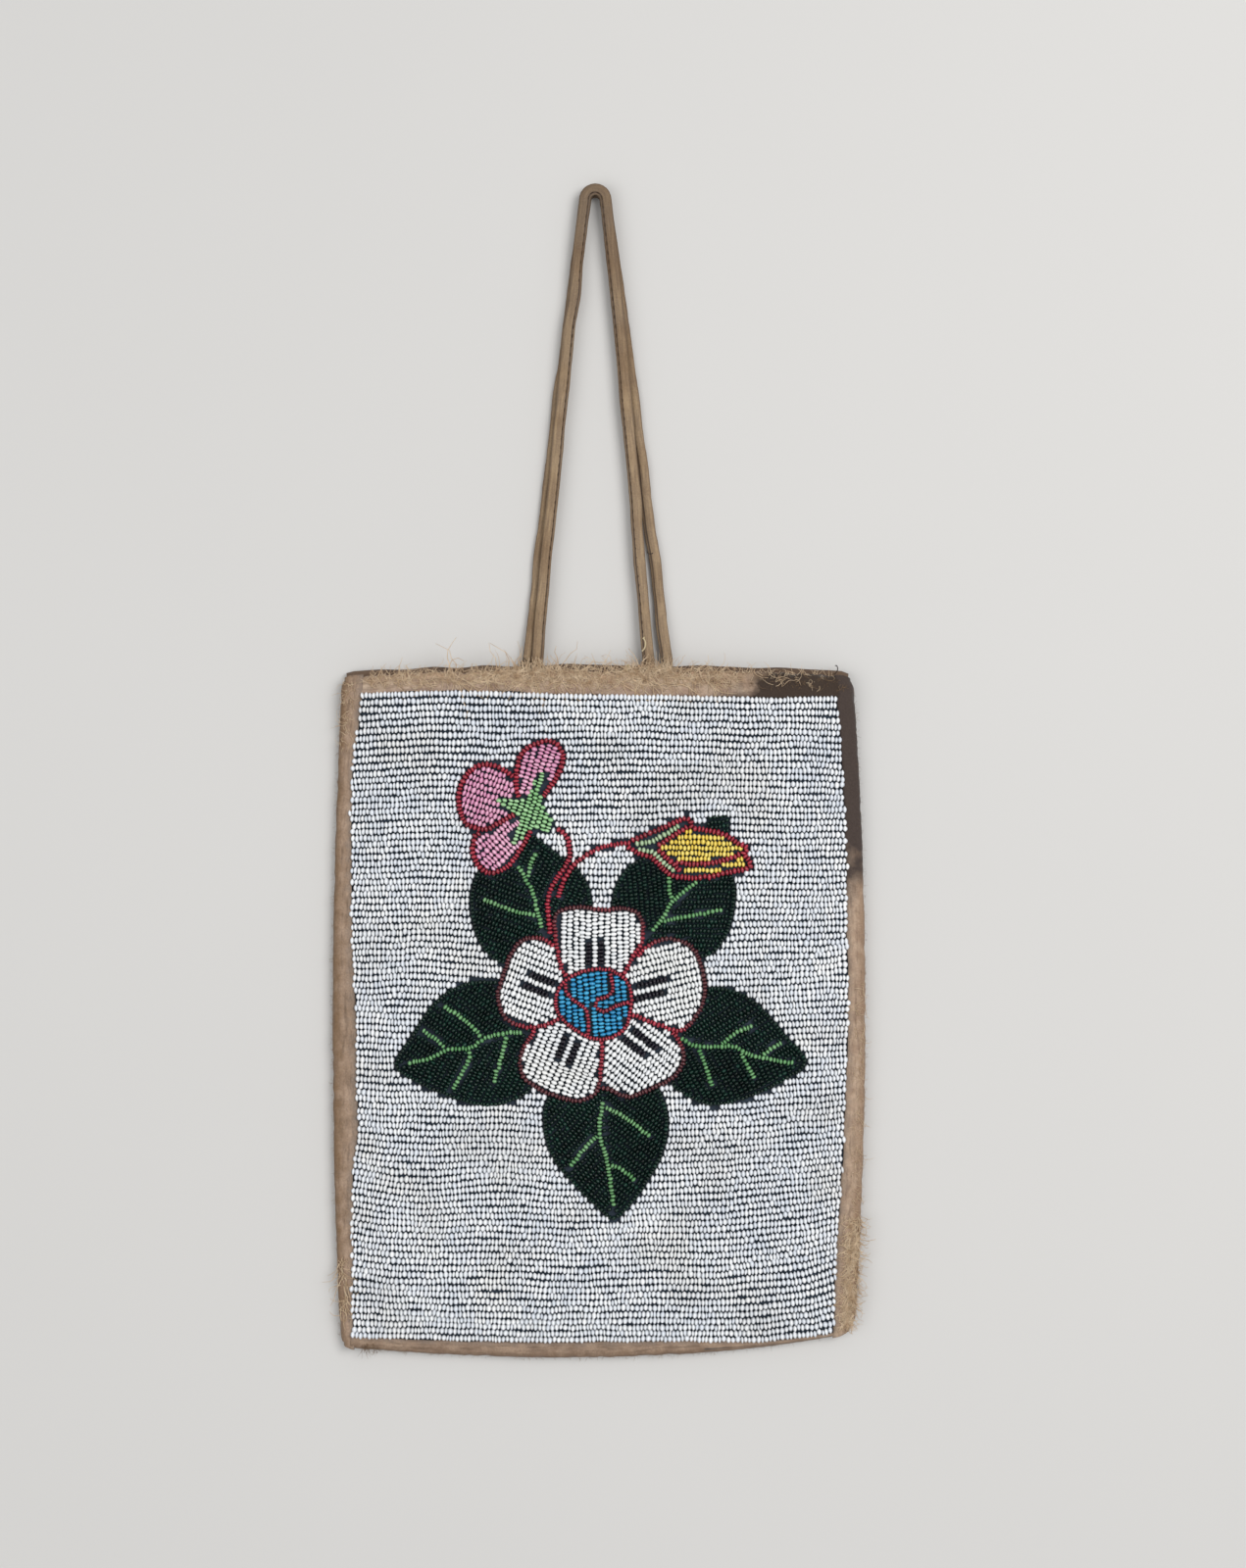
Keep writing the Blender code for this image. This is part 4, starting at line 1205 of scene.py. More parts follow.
class BeadMould:
    """The shape of one bead, which every bead in the scene repeats."""

    # A bead's cell in the layout: how far the bead's own corners reach, how they lean with their
    # height so that none share a place, and how much of the cell they take on each side.
    CELL_REACH = 0.75
    CELL_LEAN = (0.25, 0.12)
    CELL_SHARE = 0.42
    def __init__(self, size: BeadSize) -> None:
        """Models the bead along X, with rounded rims.

        Args:
            size: The bead's sizes.
        """
        self.size = size
        bpy.ops.object.select_all(action="DESELECT")
        bpy.ops.mesh.primitive_cylinder_add(vertices=size.sides, radius=size.diameter / 2,
                                            depth=size.length, rotation=(0, math.pi / 2, 0))
        obj = bpy.context.object
        bpy.ops.object.transform_apply(location=False, rotation=True, scale=False)
        rim = obj.modifiers.new("rim", "BEVEL")
        rim.width = size.rim
        rim.segments = 1
        rim.limit_method = "ANGLE"
        rim.angle_limit = math.radians(size.rim_angle)
        bpy.ops.object.modifier_apply(modifier=rim.name)
        mesh = obj.data
        self.corners = np.array([v.co for v in mesh.vertices], float)
        faces = [list(p.vertices) for p in mesh.polygons]
        kinds = sorted({len(f) for f in faces})
        self.faces = [np.array([f for f in faces if len(f) == kind]) for kind in kinds]
        bpy.data.objects.remove(obj, do_unlink=True)

    def cast(self, name: str, beads: Array, heights: Array,
             rng: np.random.Generator, looks: Array) -> Object:
        """Makes one object of many beads.

        Args:
            name: The object's name.
            beads: A row for each bead, as it was strung.
            heights: The height of each bead's middle.
            rng: Where the beads' small differences come from.
            looks: For each bead, its share of the second shade and of the worn one.

        Returns:
            The object.
        """
        size, count = self.size, len(beads)
        yaw = beads[:, 2] + rng.normal(0, size.turn_spread, count)
        tip = rng.normal(0, size.turn_spread, count)
        spread = rng.normal(0, size.size_spread, count)
        thick = beads[:, 4] * (1 + np.clip(spread, -size.size_limit, size.size_limit))
        long = np.minimum(beads[:, 3], beads[:, 4] * size.longest) * size.length_share
        forward = np.stack([np.cos(yaw) * np.cos(tip), np.sin(yaw) * np.cos(tip), np.sin(tip)], 1)
        side = np.stack([-np.sin(yaw), np.cos(yaw), np.zeros(count)], 1)
        up = np.cross(forward, side)
        shape = self.corners
        aside = rng.normal(0, size.side_spread, count)
        centres = np.column_stack([beads[:, :2], heights]) + side * aside[:, None]
        spots = (centres[:, None] + forward[:, None] * (shape[None, :, 0:1] * long[:, None, None])
                 + side[:, None] * (shape[None, :, 1:2] * thick[:, None, None])
                 + up[:, None] * (shape[None, :, 2:3] * thick[:, None, None]))
        step = len(shape) * np.arange(count)[:, None, None]
        faces = [(kind[None] + step).reshape(-1, kind.shape[1]) for kind in self.faces]
        obj = link_mesh(name, spots.reshape(-1, 3), faces)
        # Each bead's ends are marked for the painted shade where it meets its neighbours.
        out = np.abs(shape[:, 0]) * 2 / size.length
        ends = np.clip((out - size.dark_from) / (1 - size.dark_from), 0, 1)
        own = np.stack([np.repeat(looks[:, 0], len(shape)), np.tile(ends, count),
                        np.repeat(looks[:, 1], len(shape))], 1)
        set_colour(obj, "bead", np.clip(own, 0, 1))
        self.unwrap(obj, faces, count)
        return obj

    def unwrap(self, obj: Object, faces: list[Array], count: int) -> None:
        """Gives each bead a cell of its own in the UV layout named OFBake.

        Args:
            obj: The object of many beads.
            faces: Its faces, by number of sides.
            count: How many beads it has.
        """
        cells = math.ceil(math.sqrt(count))
        reach = self.size.diameter * self.CELL_REACH
        flat = (self.corners[:, :2] + self.corners[:, 2:3] * np.array(self.CELL_LEAN)) / reach
        places = []
        for kind in faces:
            number = kind.ravel()
            bead, corner = number // len(self.corners), number % len(self.corners)
            cell = np.stack([bead % cells, bead // cells], 1)
            places.append((cell + 0.5 + flat[corner] * self.CELL_SHARE) / cells)
        layer = obj.data.uv_layers.new(name="OFBake")
        layer.data.foreach_set("uv", np.concatenate(places).astype(np.float32).ravel())


@dataclass
class Shape:
    """A finished shape of the drawing, with half the width of the string along its edge."""

    loop: Array
    half: float
    closed: bool = True

    def depth(self, points: Array) -> Array:
        """Measures how deep points lie in the shape; where they are far outside, it is just low.

        Args:
            points: Rows of x and y.

        Returns:
            The depth of each point, negative outside.
        """
        found = np.full(len(points), -1.0)
        low, high = self.loop.min(0) - NEAR, self.loop.max(0) + NEAR
        near = ((points > low) & (points < high)).all(1)
        if near.any():
            close = points[near]
            off = distance(close, self.loop, self.closed)
            within = inside(close, self.loop) if self.closed else np.zeros(len(close), bool)
            found[near] = np.where(within, 1, -1) * off
        return found


class Beadwork:
    """All the beads: flowers and leaves from the top layer down, and then the white ground."""

    def __init__(self, pouch: PouchSize, bead: BeadSize, flower: FlowerSize,
                 ground: GroundSize) -> None:
        """Prepares the work.

        Args:
            pouch: The pouch's sizes.
            bead: The bead's sizes.
            flower: How large the flowers' beads are.
            ground: How the ground's rows wander.
        """
        self.pouch, self.bead, self.flower, self.ground = pouch, bead, flower, ground
        self.rng = np.random.default_rng(SEED)
        self.shapes: list[Shape] = []
        # For each piece, rows of x, y, heading, length, size and lift, one row for each bead.
        self.strung: dict[str, list[Array]] = {}
        self.sway = SoftNoise(0.024, SEED + 1)
        self.ripple = SoftNoise(0.008, SEED + 2)

    def line(self, points: Points, closed: bool = False) -> Array:
        """Lays a line of the drawing on the bag and smooths it.

        Args:
            points: The drawing's points.
            closed: Whether the line runs back to its start.

        Returns:
            Rows of x and y.
        """
        return smooth(self.pouch.laid(points), closed)

    def free(self, points: Array, room: float, within: Shape | None,
             strings: Sequence[Shape]) -> Array:
        """Tells which points nothing covers.

        Args:
            points: Rows of x and y.
            room: The room that is kept clear.
            within: The shape that they must lie in.
            strings: Strings within the shape that have beads of their own.

        Returns:
            True or False for each point.
        """
        clear = np.ones(len(points), bool)
        for shape in (*self.shapes, *strings):
            clear &= shape.depth(points) < -(shape.half + room)
        if within is not None:
            clear &= within.depth(points) > within.half + room
        return clear

    def thread(self, name: str, rows: Sequence[Array], size: float = 1.0,
               lift: float = 0.0, within: Shape | None = None,
               strings: Sequence[Shape] = ()) -> None:
        """Threads beads on lines so that they fill each stretch that nothing covers.

        Args:
            name: The piece that the beads join.
            rows: The lines, each with its points close together.
            size: How large the beads are beside the usual one.
            lift: How much higher than their field they lie.
            within: The shape that they must lie in.
            strings: Strings within the shape that have beads of their own.
        """
        bead, rng = self.bead, self.rng
        pitch = bead.length * (1 + size) / 2
        open_at = self.free(np.concatenate(rows), 0.0, within, strings)
        spots, headings, lengths, start = [], [], [], 0
        for row in rows:
            free = open_at[start:start + len(row)].astype(int)
            start += len(row)
            run = travelled(row)
            turns = np.unwrap(np.arctan2(np.gradient(row[:, 1]), np.gradient(row[:, 0])))
            ends = np.flatnonzero(np.diff(np.concatenate([[0], free, [0]])))
            for first, last in zip(ends[::2], ends[1::2]):
                length = run[last - 1] - run[first]
                if length < pitch * bead.shortest_run:
                    continue
                count = max(1, round(length / pitch))
                parts = np.clip(rng.normal(1, bead.length_spread, count), *bead.length_limits)
                parts *= length / parts.sum()
                where = run[first] + np.cumsum(parts) - parts / 2
                spots.append(at_runs(row, run, where))
                headings.append(np.interp(where, run, turns))
                lengths.append(parts / bead.length)
        if not spots:
            return
        centres, turned, long = (np.concatenate(part) for part in (spots, headings, lengths))
        room = bead.diameter / 2 * size * bead.overlap
        kept = self.free(centres, room, within, strings)
        same = np.ones(len(kept))
        beads = np.column_stack([centres, turned, long, same * size, same * lift])
        self.strung.setdefault(name, []).append(beads[kept])

    def string(self, name: str, line: Array, size: float, closed: bool = False,
               within: Shape | None = None, strings: Sequence[Shape] = ()) -> Shape:
        """Threads one string of beads.

        Args:
            name: The piece that the beads join.
            line: Rows of x and y.
            size: How large the beads are beside the usual one.
            closed: Whether the line runs back to its start.
            within: The shape that the string must lie in.
            strings: Strings that it stops at.

        Returns:
            The string as a shape that others keep clear of.
        """
        bead = self.bead
        lift = bead.diameter * (1 - size) + bead.string_lift
        self.thread(name, [dense(line, closed, bead.sample)], size, lift, within, strings)
        return Shape(line, bead.diameter / 2 * size * bead.string_room, closed)

    def rows(self, middle: Array, angle: float, reach: float, size: float) -> list[Array]:
        """Finds straight lines side by side over a round area, one of them through its middle.

        Args:
            middle: The area's middle.
            angle: The lines' direction in radians.
            reach: The area's radius.
            size: How large the beads are beside the usual one.

        Returns:
            The lines.
        """
        pitch = self.bead.row_pitch * size
        run = np.arange(-reach, reach, self.bead.sample)
        count = math.ceil(reach / pitch)
        found = []
        for k in np.arange(-count, count + 1) * pitch:
            x = middle[0] + run * math.cos(angle) - k * math.sin(angle)
            y = middle[1] + run * math.sin(angle) + k * math.cos(angle)
            bow = self.ripple.at(x, y) * self.bead.field_bow
            found.append(np.stack([x - bow * math.sin(angle), y + bow * math.cos(angle)], 1))
        return found

    def field(self, name: str, shape: Shape, angle: float, size: float = 1.0,
              strings: Sequence[Shape] = (), middle: Array | None = None) -> None:
        """Fills a shape with strings at an angle, clear of the strings that lie within it.

        Args:
            name: The piece that the beads join.
            shape: The shape.
            angle: The strings' direction in degrees.
            size: How large the beads are beside the usual one.
            strings: Strings within the shape that have beads of their own.
            middle: A point that a string passes through.
        """
        loop = shape.loop
        centre = (loop.min(0) + loop.max(0)) / 2 if middle is None else middle
        reach = float(np.hypot(*(loop - centre).T).max()) + self.bead.row_pitch
        rows = self.rows(centre, math.radians(angle), reach, size)
        self.thread(name, rows, size, self.bead.lift(size), shape, strings)

    def petal(self, points: Points, angle: float, body: str, edge: str, size: float,
              edge_size: float, strings: Sequence[Shape] = (),
              middle: Array | None = None) -> None:
        """Lays a petal: its outline string and the strings inside it.

        Args:
            points: The drawing's outline.
            angle: The strings' direction in degrees.
            body: The piece that the inner beads join.
            edge: The piece that the outline's beads join.
            size: How large the inner beads are beside the usual one.
            edge_size: How large the outline's beads are beside the usual one.
            strings: Strings within the petal that have beads of their own.
            middle: A point that a string passes through.
        """
        shape = self.string(edge, self.line(points, True), edge_size, closed=True)
        self.field(body, shape, angle, size, strings, middle)
        self.shapes.append(shape)

    def stamens(self, pair: Sequence[Points], angle: float) -> tuple[list[Shape], Array]:
        """Lays a petal's two stamens along its strings, one string to each side of their middle.

        Args:
            pair: The drawing's line of each stamen.
            angle: The direction of the petal's strings in radians.

        Returns:
            The two strings, and the point between them.
        """
        parts = [self.pouch.laid(points) for points in pair]
        middle = np.concatenate(parts).mean(0)
        ahead = np.array([math.cos(angle), math.sin(angle)])
        aside = np.array([-math.sin(angle), math.cos(angle)])
        found = []
        for part in parts:
            side = math.copysign(self.bead.row_pitch, float((part.mean(0) - middle) @ aside))
            run = (part - middle) @ ahead
            run = run * (1 + self.flower.stamen_reach / max(float(np.abs(run).max()), MM))
            line = middle + aside * side + run[:, None] * ahead
            found.append(self.string("rose_stamens", line, self.flower.stamen))
        return found, middle

    def build_rose(self) -> None:
        """Lays the rose with its turquoise middle, curls and stamens."""
        sizes = self.flower
        curls = [self.string("rose_curls", self.line(points), sizes.curl) for points in CURLS]
        self.petal(CENTRE, CENTRE_STRINGS, "rose_middle", "rose_outlines", sizes.centre,
                   sizes.centre_edge, curls)
        for name, *pair in zip(PETALS, STAMENS[::2], STAMENS[1::2]):
            stamens, middle = self.stamens(pair, math.radians(PETAL_STRINGS[name]))
            self.petal(PETALS[name], PETAL_STRINGS[name], "rose_petals", "rose_outlines",
                       sizes.petal, sizes.petal_edge, stamens, middle)

    def build_stems(self) -> None:
        """Lays the two stems."""
        for points in STEMS.values():
            self.shapes.append(self.string("flower_stems", self.line(points), self.flower.stem))

    def build_pink_flower(self) -> None:
        """Lays the pink flower and its light green calyx."""
        shape = Shape(self.line(CALYX, True), 0.0)
        self.field("pink_calyx_rows", shape, CALYX_STRINGS, self.flower.calyx)
        self.shapes.append(shape)
        for name, points in PINK_PETALS.items():
            self.petal(points, PINK_STRINGS[name], "pink_petals", "pink_outlines",
                       self.flower.pink, self.flower.pink_edge)

    def build_bud(self) -> None:
        """Lays the yellow bud in its outline, with a fork, an inner line and a line across it."""
        sizes = self.flower
        shape = self.string("bud_outlines", self.line(BUD, True), sizes.bud_edge, closed=True)
        lines = [("bud_forks", points) for points in BUD_FORK]
        lines += [("bud_outlines", points) for points in (*BUD_INNER, BUD_ACROSS)]
        strings: list[Shape] = []
        for piece, points in lines:
            strings.append(self.string(piece, self.line(points), sizes.bud_string, within=shape,
                                       strings=strings))
        base = Shape(self.pouch.laid(BUD_BASE), 0.0)
        self.field("bud_body", shape, BUD_STRINGS, sizes.bud, [*strings, base])
        self.shapes.append(shape)

    def build_leaves(self) -> None:
        """Lays the leaves: strings that fold forwards from the rib on both sides, and the veins."""
        size, bead = self.flower.leaf, self.bead
        tip = Shape(self.line(TIP_LEAF, True), 0.0)
        self.field("leaf_rows", tip, TIP_STRINGS, size)
        self.shapes.append(tip)
        for name, points in LEAVES.items():
            loop = self.line(points, True)
            ribs: list[Shape] = []
            for part in (RIBS[name], *VEINS[name]):
                ribs.append(self.string("leaf_veins", self.line(part), self.flower.vein,
                                        strings=ribs[:1]))
            edge = shrunk(loop, bead.diameter / 2 * size)
            border = self.string("leaf_rows", edge, size, closed=True, strings=ribs)
            base, end = self.pouch.laid(LEAF_AXES[name])
            ahead = (end - base) / np.hypot(*(end - base))
            axis = math.atan2(end[1] - base[1], end[0] - base[0])
            reach = (float(np.hypot(*(loop - base).T).max()) + 0.01) * 1.2
            for side in (-1, 1):
                aside = np.array([-ahead[1], ahead[0]]) * side
                lines = self.rows(base, axis + side * math.radians(LEAF_FOLD), reach, size)
                halves = [line[(line - base) @ aside > bead.sample] for line in lines]
                rows = [line for line in halves if len(line) > 4]
                self.thread("leaf_rows", rows, size, bead.lift(size), border, ribs)
            self.shapes.append(Shape(loop, 0.0))

    def build_ground(self) -> None:
        """Lays the white ground in rows from side to side, with gaps that open here and there."""
        size, bead, wander, rng = self.pouch, self.bead, self.ground, self.rng
        margin = bead.row_pitch * wander.margin
        low, high = size.field_bottom + margin, size.side_height - size.field_top - margin
        levels = np.linspace(low, high, round((high - low) / bead.row_pitch) + 1)
        rows = []
        for k, r in enumerate(levels):
            height = r - size.side_height / 2
            start = float(size.inset(Side.LEFT, height))
            start += rng.normal(-wander.end_reach, wander.end_spread)
            end = size.top_width - float(size.inset(Side.RIGHT, height))
            end += rng.normal(wander.end_reach, wander.end_spread)
            c = np.arange(start, end, bead.sample)
            spot, level = c - MIDDLE_X, np.full(len(c), height)
            own = wander.own + wander.loose * float(r < wander.loose_below)
            shift = self.sway.at(spot, level) * wander.sway
            shift += self.ripple.at(spot, level) * wander.ripple
            shift += SoftNoise(wander.own_cell, SEED + 100 + k).at(spot, level * 0) * own
            shift *= np.clip(min((r - low) / wander.calm + wander.calm_low,
                                 (high - r) / wander.calm + wander.calm_high), 0, 1)
            across = c - size.top_width / 2
            from_low = size.inset(Side.BOTTOM, across) - size.field_bottom
            from_high = size.field_top - size.inset(Side.TOP, across)
            shift += from_low * np.clip(1 - (r - low) / wander.follow, 0, 1)
            shift += from_high * np.clip(1 - (high - r) / wander.follow, 0, 1)
            rows.append(np.stack(size.place(c, r + shift), 1))
        quarter = math.ceil(len(rows) / 4)
        for i in range(4):
            self.thread(f"ground_rows_{i + 1}", rows[i * quarter:(i + 1) * quarter])

    def level(self, spots: Array) -> Array:
        """Finds how high the beads' field lies.

        Args:
            spots: Rows of x and y.

        Returns:
            The height of the front cloth's upper face at each bead.
        """
        size = self.pouch
        c = spots[:, 0] + size.top_width / 2
        r = spots[:, 1] + size.side_height / 2
        for _ in range(3):
            x, y = size.place(c, r)
            c, r = c + spots[:, 0] - x, r + spots[:, 1] - y
        return size.front_under(c, r) + size.cloth

    def build(self) -> None:
        """Lays every bead, in the order in which the shapes cover each other."""
        self.build_rose()
        self.build_stems()
        self.build_pink_flower()
        self.build_bud()
        self.build_leaves()
        self.build_ground()

    def wear(self, name: str, beads: Array) -> Array:
        """Finds how worn each bead looks.

        Args:
            name: The piece.
            beads: A row for each bead.

        Returns:
            A share from 0 to 1 for each bead.
        """
        x, y = beads[:, 0], beads[:, 1]
        patches = SoftNoise(0.012, SEED + 8).at(x, y)
        if name == "rose_outlines":
            # The outlines are worn far from the rose's middle, and fresh beside it.
            middle = self.pouch.laid([(2, 5)])[0]
            away = np.hypot(x - middle[0], y - middle[1])
            return np.clip((away - 0.024) / 0.008 + patches * 0.6, 0, 0.9)
        if name.startswith("ground"):
            # A soiled band runs across the lower half.
            band = np.exp(-((y + 0.035) / 0.03) ** 2)
            return np.clip(patches * 0.5 - 0.1 + 0.15 * band, 0, 0.3)
        if name == "leaf_rows":
            return np.clip(self.rng.normal(-0.3, 0.5, len(x)), 0, 0.9)
        return np.clip(patches * 0.4, 0, 0.5)

    def cast(self) -> None:
        """Makes the pieces from the beads that were laid."""
        mould = BeadMould(self.bead)
        petals = [f"petal_{name}" for name in PETALS]
        pinks = [f"pink_petal_{name}" for name in PINK_PETALS]
        leaves = [f"leaf_{name}" for name in LEAVES]
        stands_for = {
            "rose_curls": (Glass.RED, ["centre_curl_left", "centre_curl_right"]),
            "rose_middle": (Glass.BLUE, ["centre_beads"]),
            "rose_outlines": (Glass.RED, ["centre_edge", *[p + "_edge" for p in petals]]),
            "rose_stamens": (Glass.DARK, [f"stamen_{p}_{i}" for p in PETALS for i in (1, 2)]),
            "rose_petals": (Glass.CREAM, [p + "_beads" for p in petals]),
            "flower_stems": (Glass.RED, ["stem_left", "stem_right"]),
            "pink_calyx_rows": (Glass.LIGHT, ["pink_calyx"]),
            "pink_petals": (Glass.PINK, [p + "_beads" for p in pinks]),
            "pink_outlines": (Glass.RED, [p + "_edge" for p in pinks]),
            "bud_outlines": (Glass.RED, ["bud_edge", "bud_inner", "bud_across"]),
            "bud_forks": (Glass.PALE, ["bud_calyx"]),
            "bud_body": (Glass.YELLOW, ["bud_beads"]),
            "leaf_veins": (Glass.VEIN, [p + "_veins" for p in leaves]),
            "leaf_rows": (Glass.GREEN, ["leaf_tip_beads", *[p + "_beads" for p in leaves]]),
            "ground_rows_1": (Glass.WHITE, ["ground_beads"]),
            "ground_rows_2": (Glass.WHITE, []),
            "ground_rows_3": (Glass.WHITE, ["ground_patch"]),
            "ground_rows_4": (Glass.WHITE, []),
        }
        materials = {glass: glass.value.build() for glass in Glass}
        patches = SoftNoise(0.009, SEED + 7)
        total = 0
        for name, parts in self.strung.items():
            glass, nodes = stands_for[name]
            beads = np.concatenate(parts)
            count = len(beads)
            total += count
            radius = self.bead.diameter / 2 * beads[:, 4]
            heights = self.level(beads[:, :2]) + radius + beads[:, 5]
            heights = heights + self.rng.normal(0, self.bead.height_spread, count)
            shades = self.rng.beta(1.6, 1.6, count) * 0.8
            shades = shades + patches.at(beads[:, 0], beads[:, 1]) * 0.25 + 0.1
            looks = np.column_stack([shades, self.wear(name, beads)])
            obj = mould.cast(name, beads, heights, self.rng, looks)
            dress(obj, materials[glass], nodes)
        LOG.info("%d beads", total)


# Cloth, strips and straps

@dataclass(frozen=True)
class PanelSize:
    """How finely the panels are laid out, and how they are dented and worn."""

    columns: int = 64
    rows: int = 84
    front_share: float = 0.8
    back_share: float = 0.9
    dent_cell: float = 0.018
    dent: float = 0.0002
    worn: float = 0.0005
    worn_reach: float = 0.004
    floor_gap: float = 0.00005


@dataclass
class Panels:
    """The dark front cloth that shows between the beads, and the suede back."""

    pouch: PouchSize
    size: PanelSize

    def build(self) -> None:
        """Makes both panels."""
        size, own = self.pouch, self.size
        dents = SoftNoise(own.dent_cell, SEED + 3)
        c = np.linspace(size.edge, size.top_width - size.edge, own.columns)
        r = np.linspace(size.edge, size.side_height - size.edge, own.rows)
        across, up = np.meshgrid(c, r)
        x, y = size.place(*size.rounded(across, up))
        z = size.front_under(across, up) + size.cloth / 2
        thickness = np.full(x.shape, size.cloth * own.front_share)
        front = thick_sheet("front_cloth", np.stack([x, y, z], -1), thickness)
        # Dark blue-grey woven cloth.
        finish = PlainFinish("Front_Cloth_Navy", "#2b333d", "#3d4753", 0.95)
        dress(front, finish.build(), ["front_panel"])

        r = np.linspace(size.edge, size.side_height + size.back_reach, own.rows)
        across, up = np.meshgrid(c, r)
        dent = dents.at(across - MIDDLE_X, up - MIDDLE_Y) * own.dent
        worn = np.clip((up - size.side_height + own.worn_reach) / own.worn_reach, 0, 1)
        worn = worn * dents.at(across * 2 - 2 * MIDDLE_X, up) * own.worn
        x, y = size.place(*size.rounded(across, up + worn))
        z = size.back_under(across, up) + size.cloth / 2 + np.abs(dent) + own.floor_gap
        thickness = np.full(x.shape, size.cloth * own.back_share)
        back = thick_sheet("back_suede", np.stack([x, y, z], -1), thickness)
        # Brown suede, the flesh side of a thin hide.
        finish = SuedeFinish("Back_Suede_Brown", "#7d6755", "#977d67", "#7d6755", "#977d67",
                             "#5d4b3f", stain_from=0.118, stain_to=0.15, blotch=0.02)
        dress(back, finish.build(), ["back_panel"])


@dataclass(frozen=True)
class StripSize:
    """One folded strip: its layout, how it laps the strips beside it and how its edges wander."""

    side: Side
    node: str
    wander: float = 0.00035
    room: float = 0.0001
    lap: float = 0.0010
    fold: float = 0.0013
    thin: float = 0.9
    floor_gap: float = 0.00005
    pucker: float = 0.00022
    fine_pucker: float = 0.00012
    steps: int = 210
    turns: int = 9


def strip_spots(pouch: PouchSize, side: Side, run: Array, deep: Array
                ) -> tuple[Array, Array]:
    """Finds where on the flat cloth a point of a strip lies.

    Args:
        pouch: The pouch's sizes.
        side: The strip's edge.
        run: Distance along the edge.
        deep: Distance from the edge.

    Returns:
        The distances from the left and the bottom edge.
    """
    if side is Side.LEFT:
        return deep, run
    if side is Side.RIGHT:
        return pouch.top_width - deep, run
    if side is Side.BOTTOM:
        return run, deep
    return run, pouch.side_height - deep


@dataclass
class Strip:
    """A strip of suede folded over an edge of the pouch."""

    pouch: PouchSize
    size: StripSize
    finish: SuedeFinish

    def build(self) -> None:
        """Makes the strip with its rounded fold, wandering edges and slight puckers."""
        size, own = self.pouch, self.size
        upright = own.side in (Side.LEFT, Side.RIGHT)
        length = size.side_height if upright else size.top_width
        low, high = 0.0, length
        if not upright:
            level = np.array([size.side_height / 2 * (1 if own.side is Side.TOP else -1)])
            low = float(size.inset(Side.LEFT, level)[0]) - own.lap
            high = length - float(size.inset(Side.RIGHT, level)[0]) + own.lap
        run = np.linspace(low, high, own.steps)
        half = size.strip_cloth / 2
        turns = np.radians(np.linspace(-90, 90, own.turns))
        wide = size.inset(own.side, run - length / 2) - own.room
        # Each column of the fold: its share of the width, its distance from the edge, its height.
        fold = [(k, 0.0, -1.0) for k in (1.0, 0.8, 0.6, 0.4)]
        fold += [(0.0, half + own.fold * (1 - math.cos(t)), math.sin(t)) for t in turns]
        fold += [(k, 0.0, 1.0) for k in (0.36, 0.52, 0.68, 0.84, 1.0)]
        shares, flat, rise = (np.array(column)[:, None] for column in zip(*fold))
        depth = shares * wide[None] + flat
        along, rise = np.broadcast_to(run, depth.shape), np.broadcast_to(rise, depth.shape)
        rough = SoftNoise(0.006, SEED + len(own.node))
        fine = SoftNoise(0.0018, SEED + 2 * len(own.node))
        share = np.clip(depth / wide[None], 0, 1)
        spot = along - MIDDLE_Y
        edge = rough.at(spot, np.full(depth.shape, 0.01)) * own.wander
        edge = edge + fine.at(spot, rise * 0.02) * own.wander * 0.7
        inner = rough.at(spot, rise * 0.03 + 0.05) * own.wander * 0.8
        depth = depth + np.abs(edge) * (1 - share) + inner * share ** 3
        x, y = size.place(*size.rounded(*strip_spots(size, own.side, along, depth)))
        within = strip_spots(size, own.side, along, np.maximum(depth, size.edge))
        bottom = np.full(depth.shape, half + own.floor_gap)
        if own.side is Side.TOP:
            bottom = size.front_under(*within) - size.gap - half
        top = size.front_under(*within) + size.cloth + size.gap + half
        middle, reach = (bottom + top) / 2, (top - bottom) / 2
        pucker = rough.at(along * 1.6 - 2 * MIDDLE_X, depth * 3) * own.pucker
        pucker = pucker + fine.at(spot, depth * 2) * own.fine_pucker
        pucker = pucker * (rise > 0.9) * np.sqrt(share)
        grid = np.stack([x, y, middle + reach * rise + pucker], -1)
        if own.side in (Side.LEFT, Side.TOP):
            # The columns run the other way here, so that the faces look outwards.
            grid, share, along = grid[:, ::-1], share[:, ::-1], along[:, ::-1]
        obj = thick_sheet(own.node + "_suede", grid, np.full(x.shape, size.strip_cloth * own.thin))
        values = np.stack([share.ravel(), along.ravel(), np.zeros(share.size)], 1)
        set_colour(obj, "strip", np.concatenate([values, values]))
        dress(obj, self.finish.build(), [own.node])


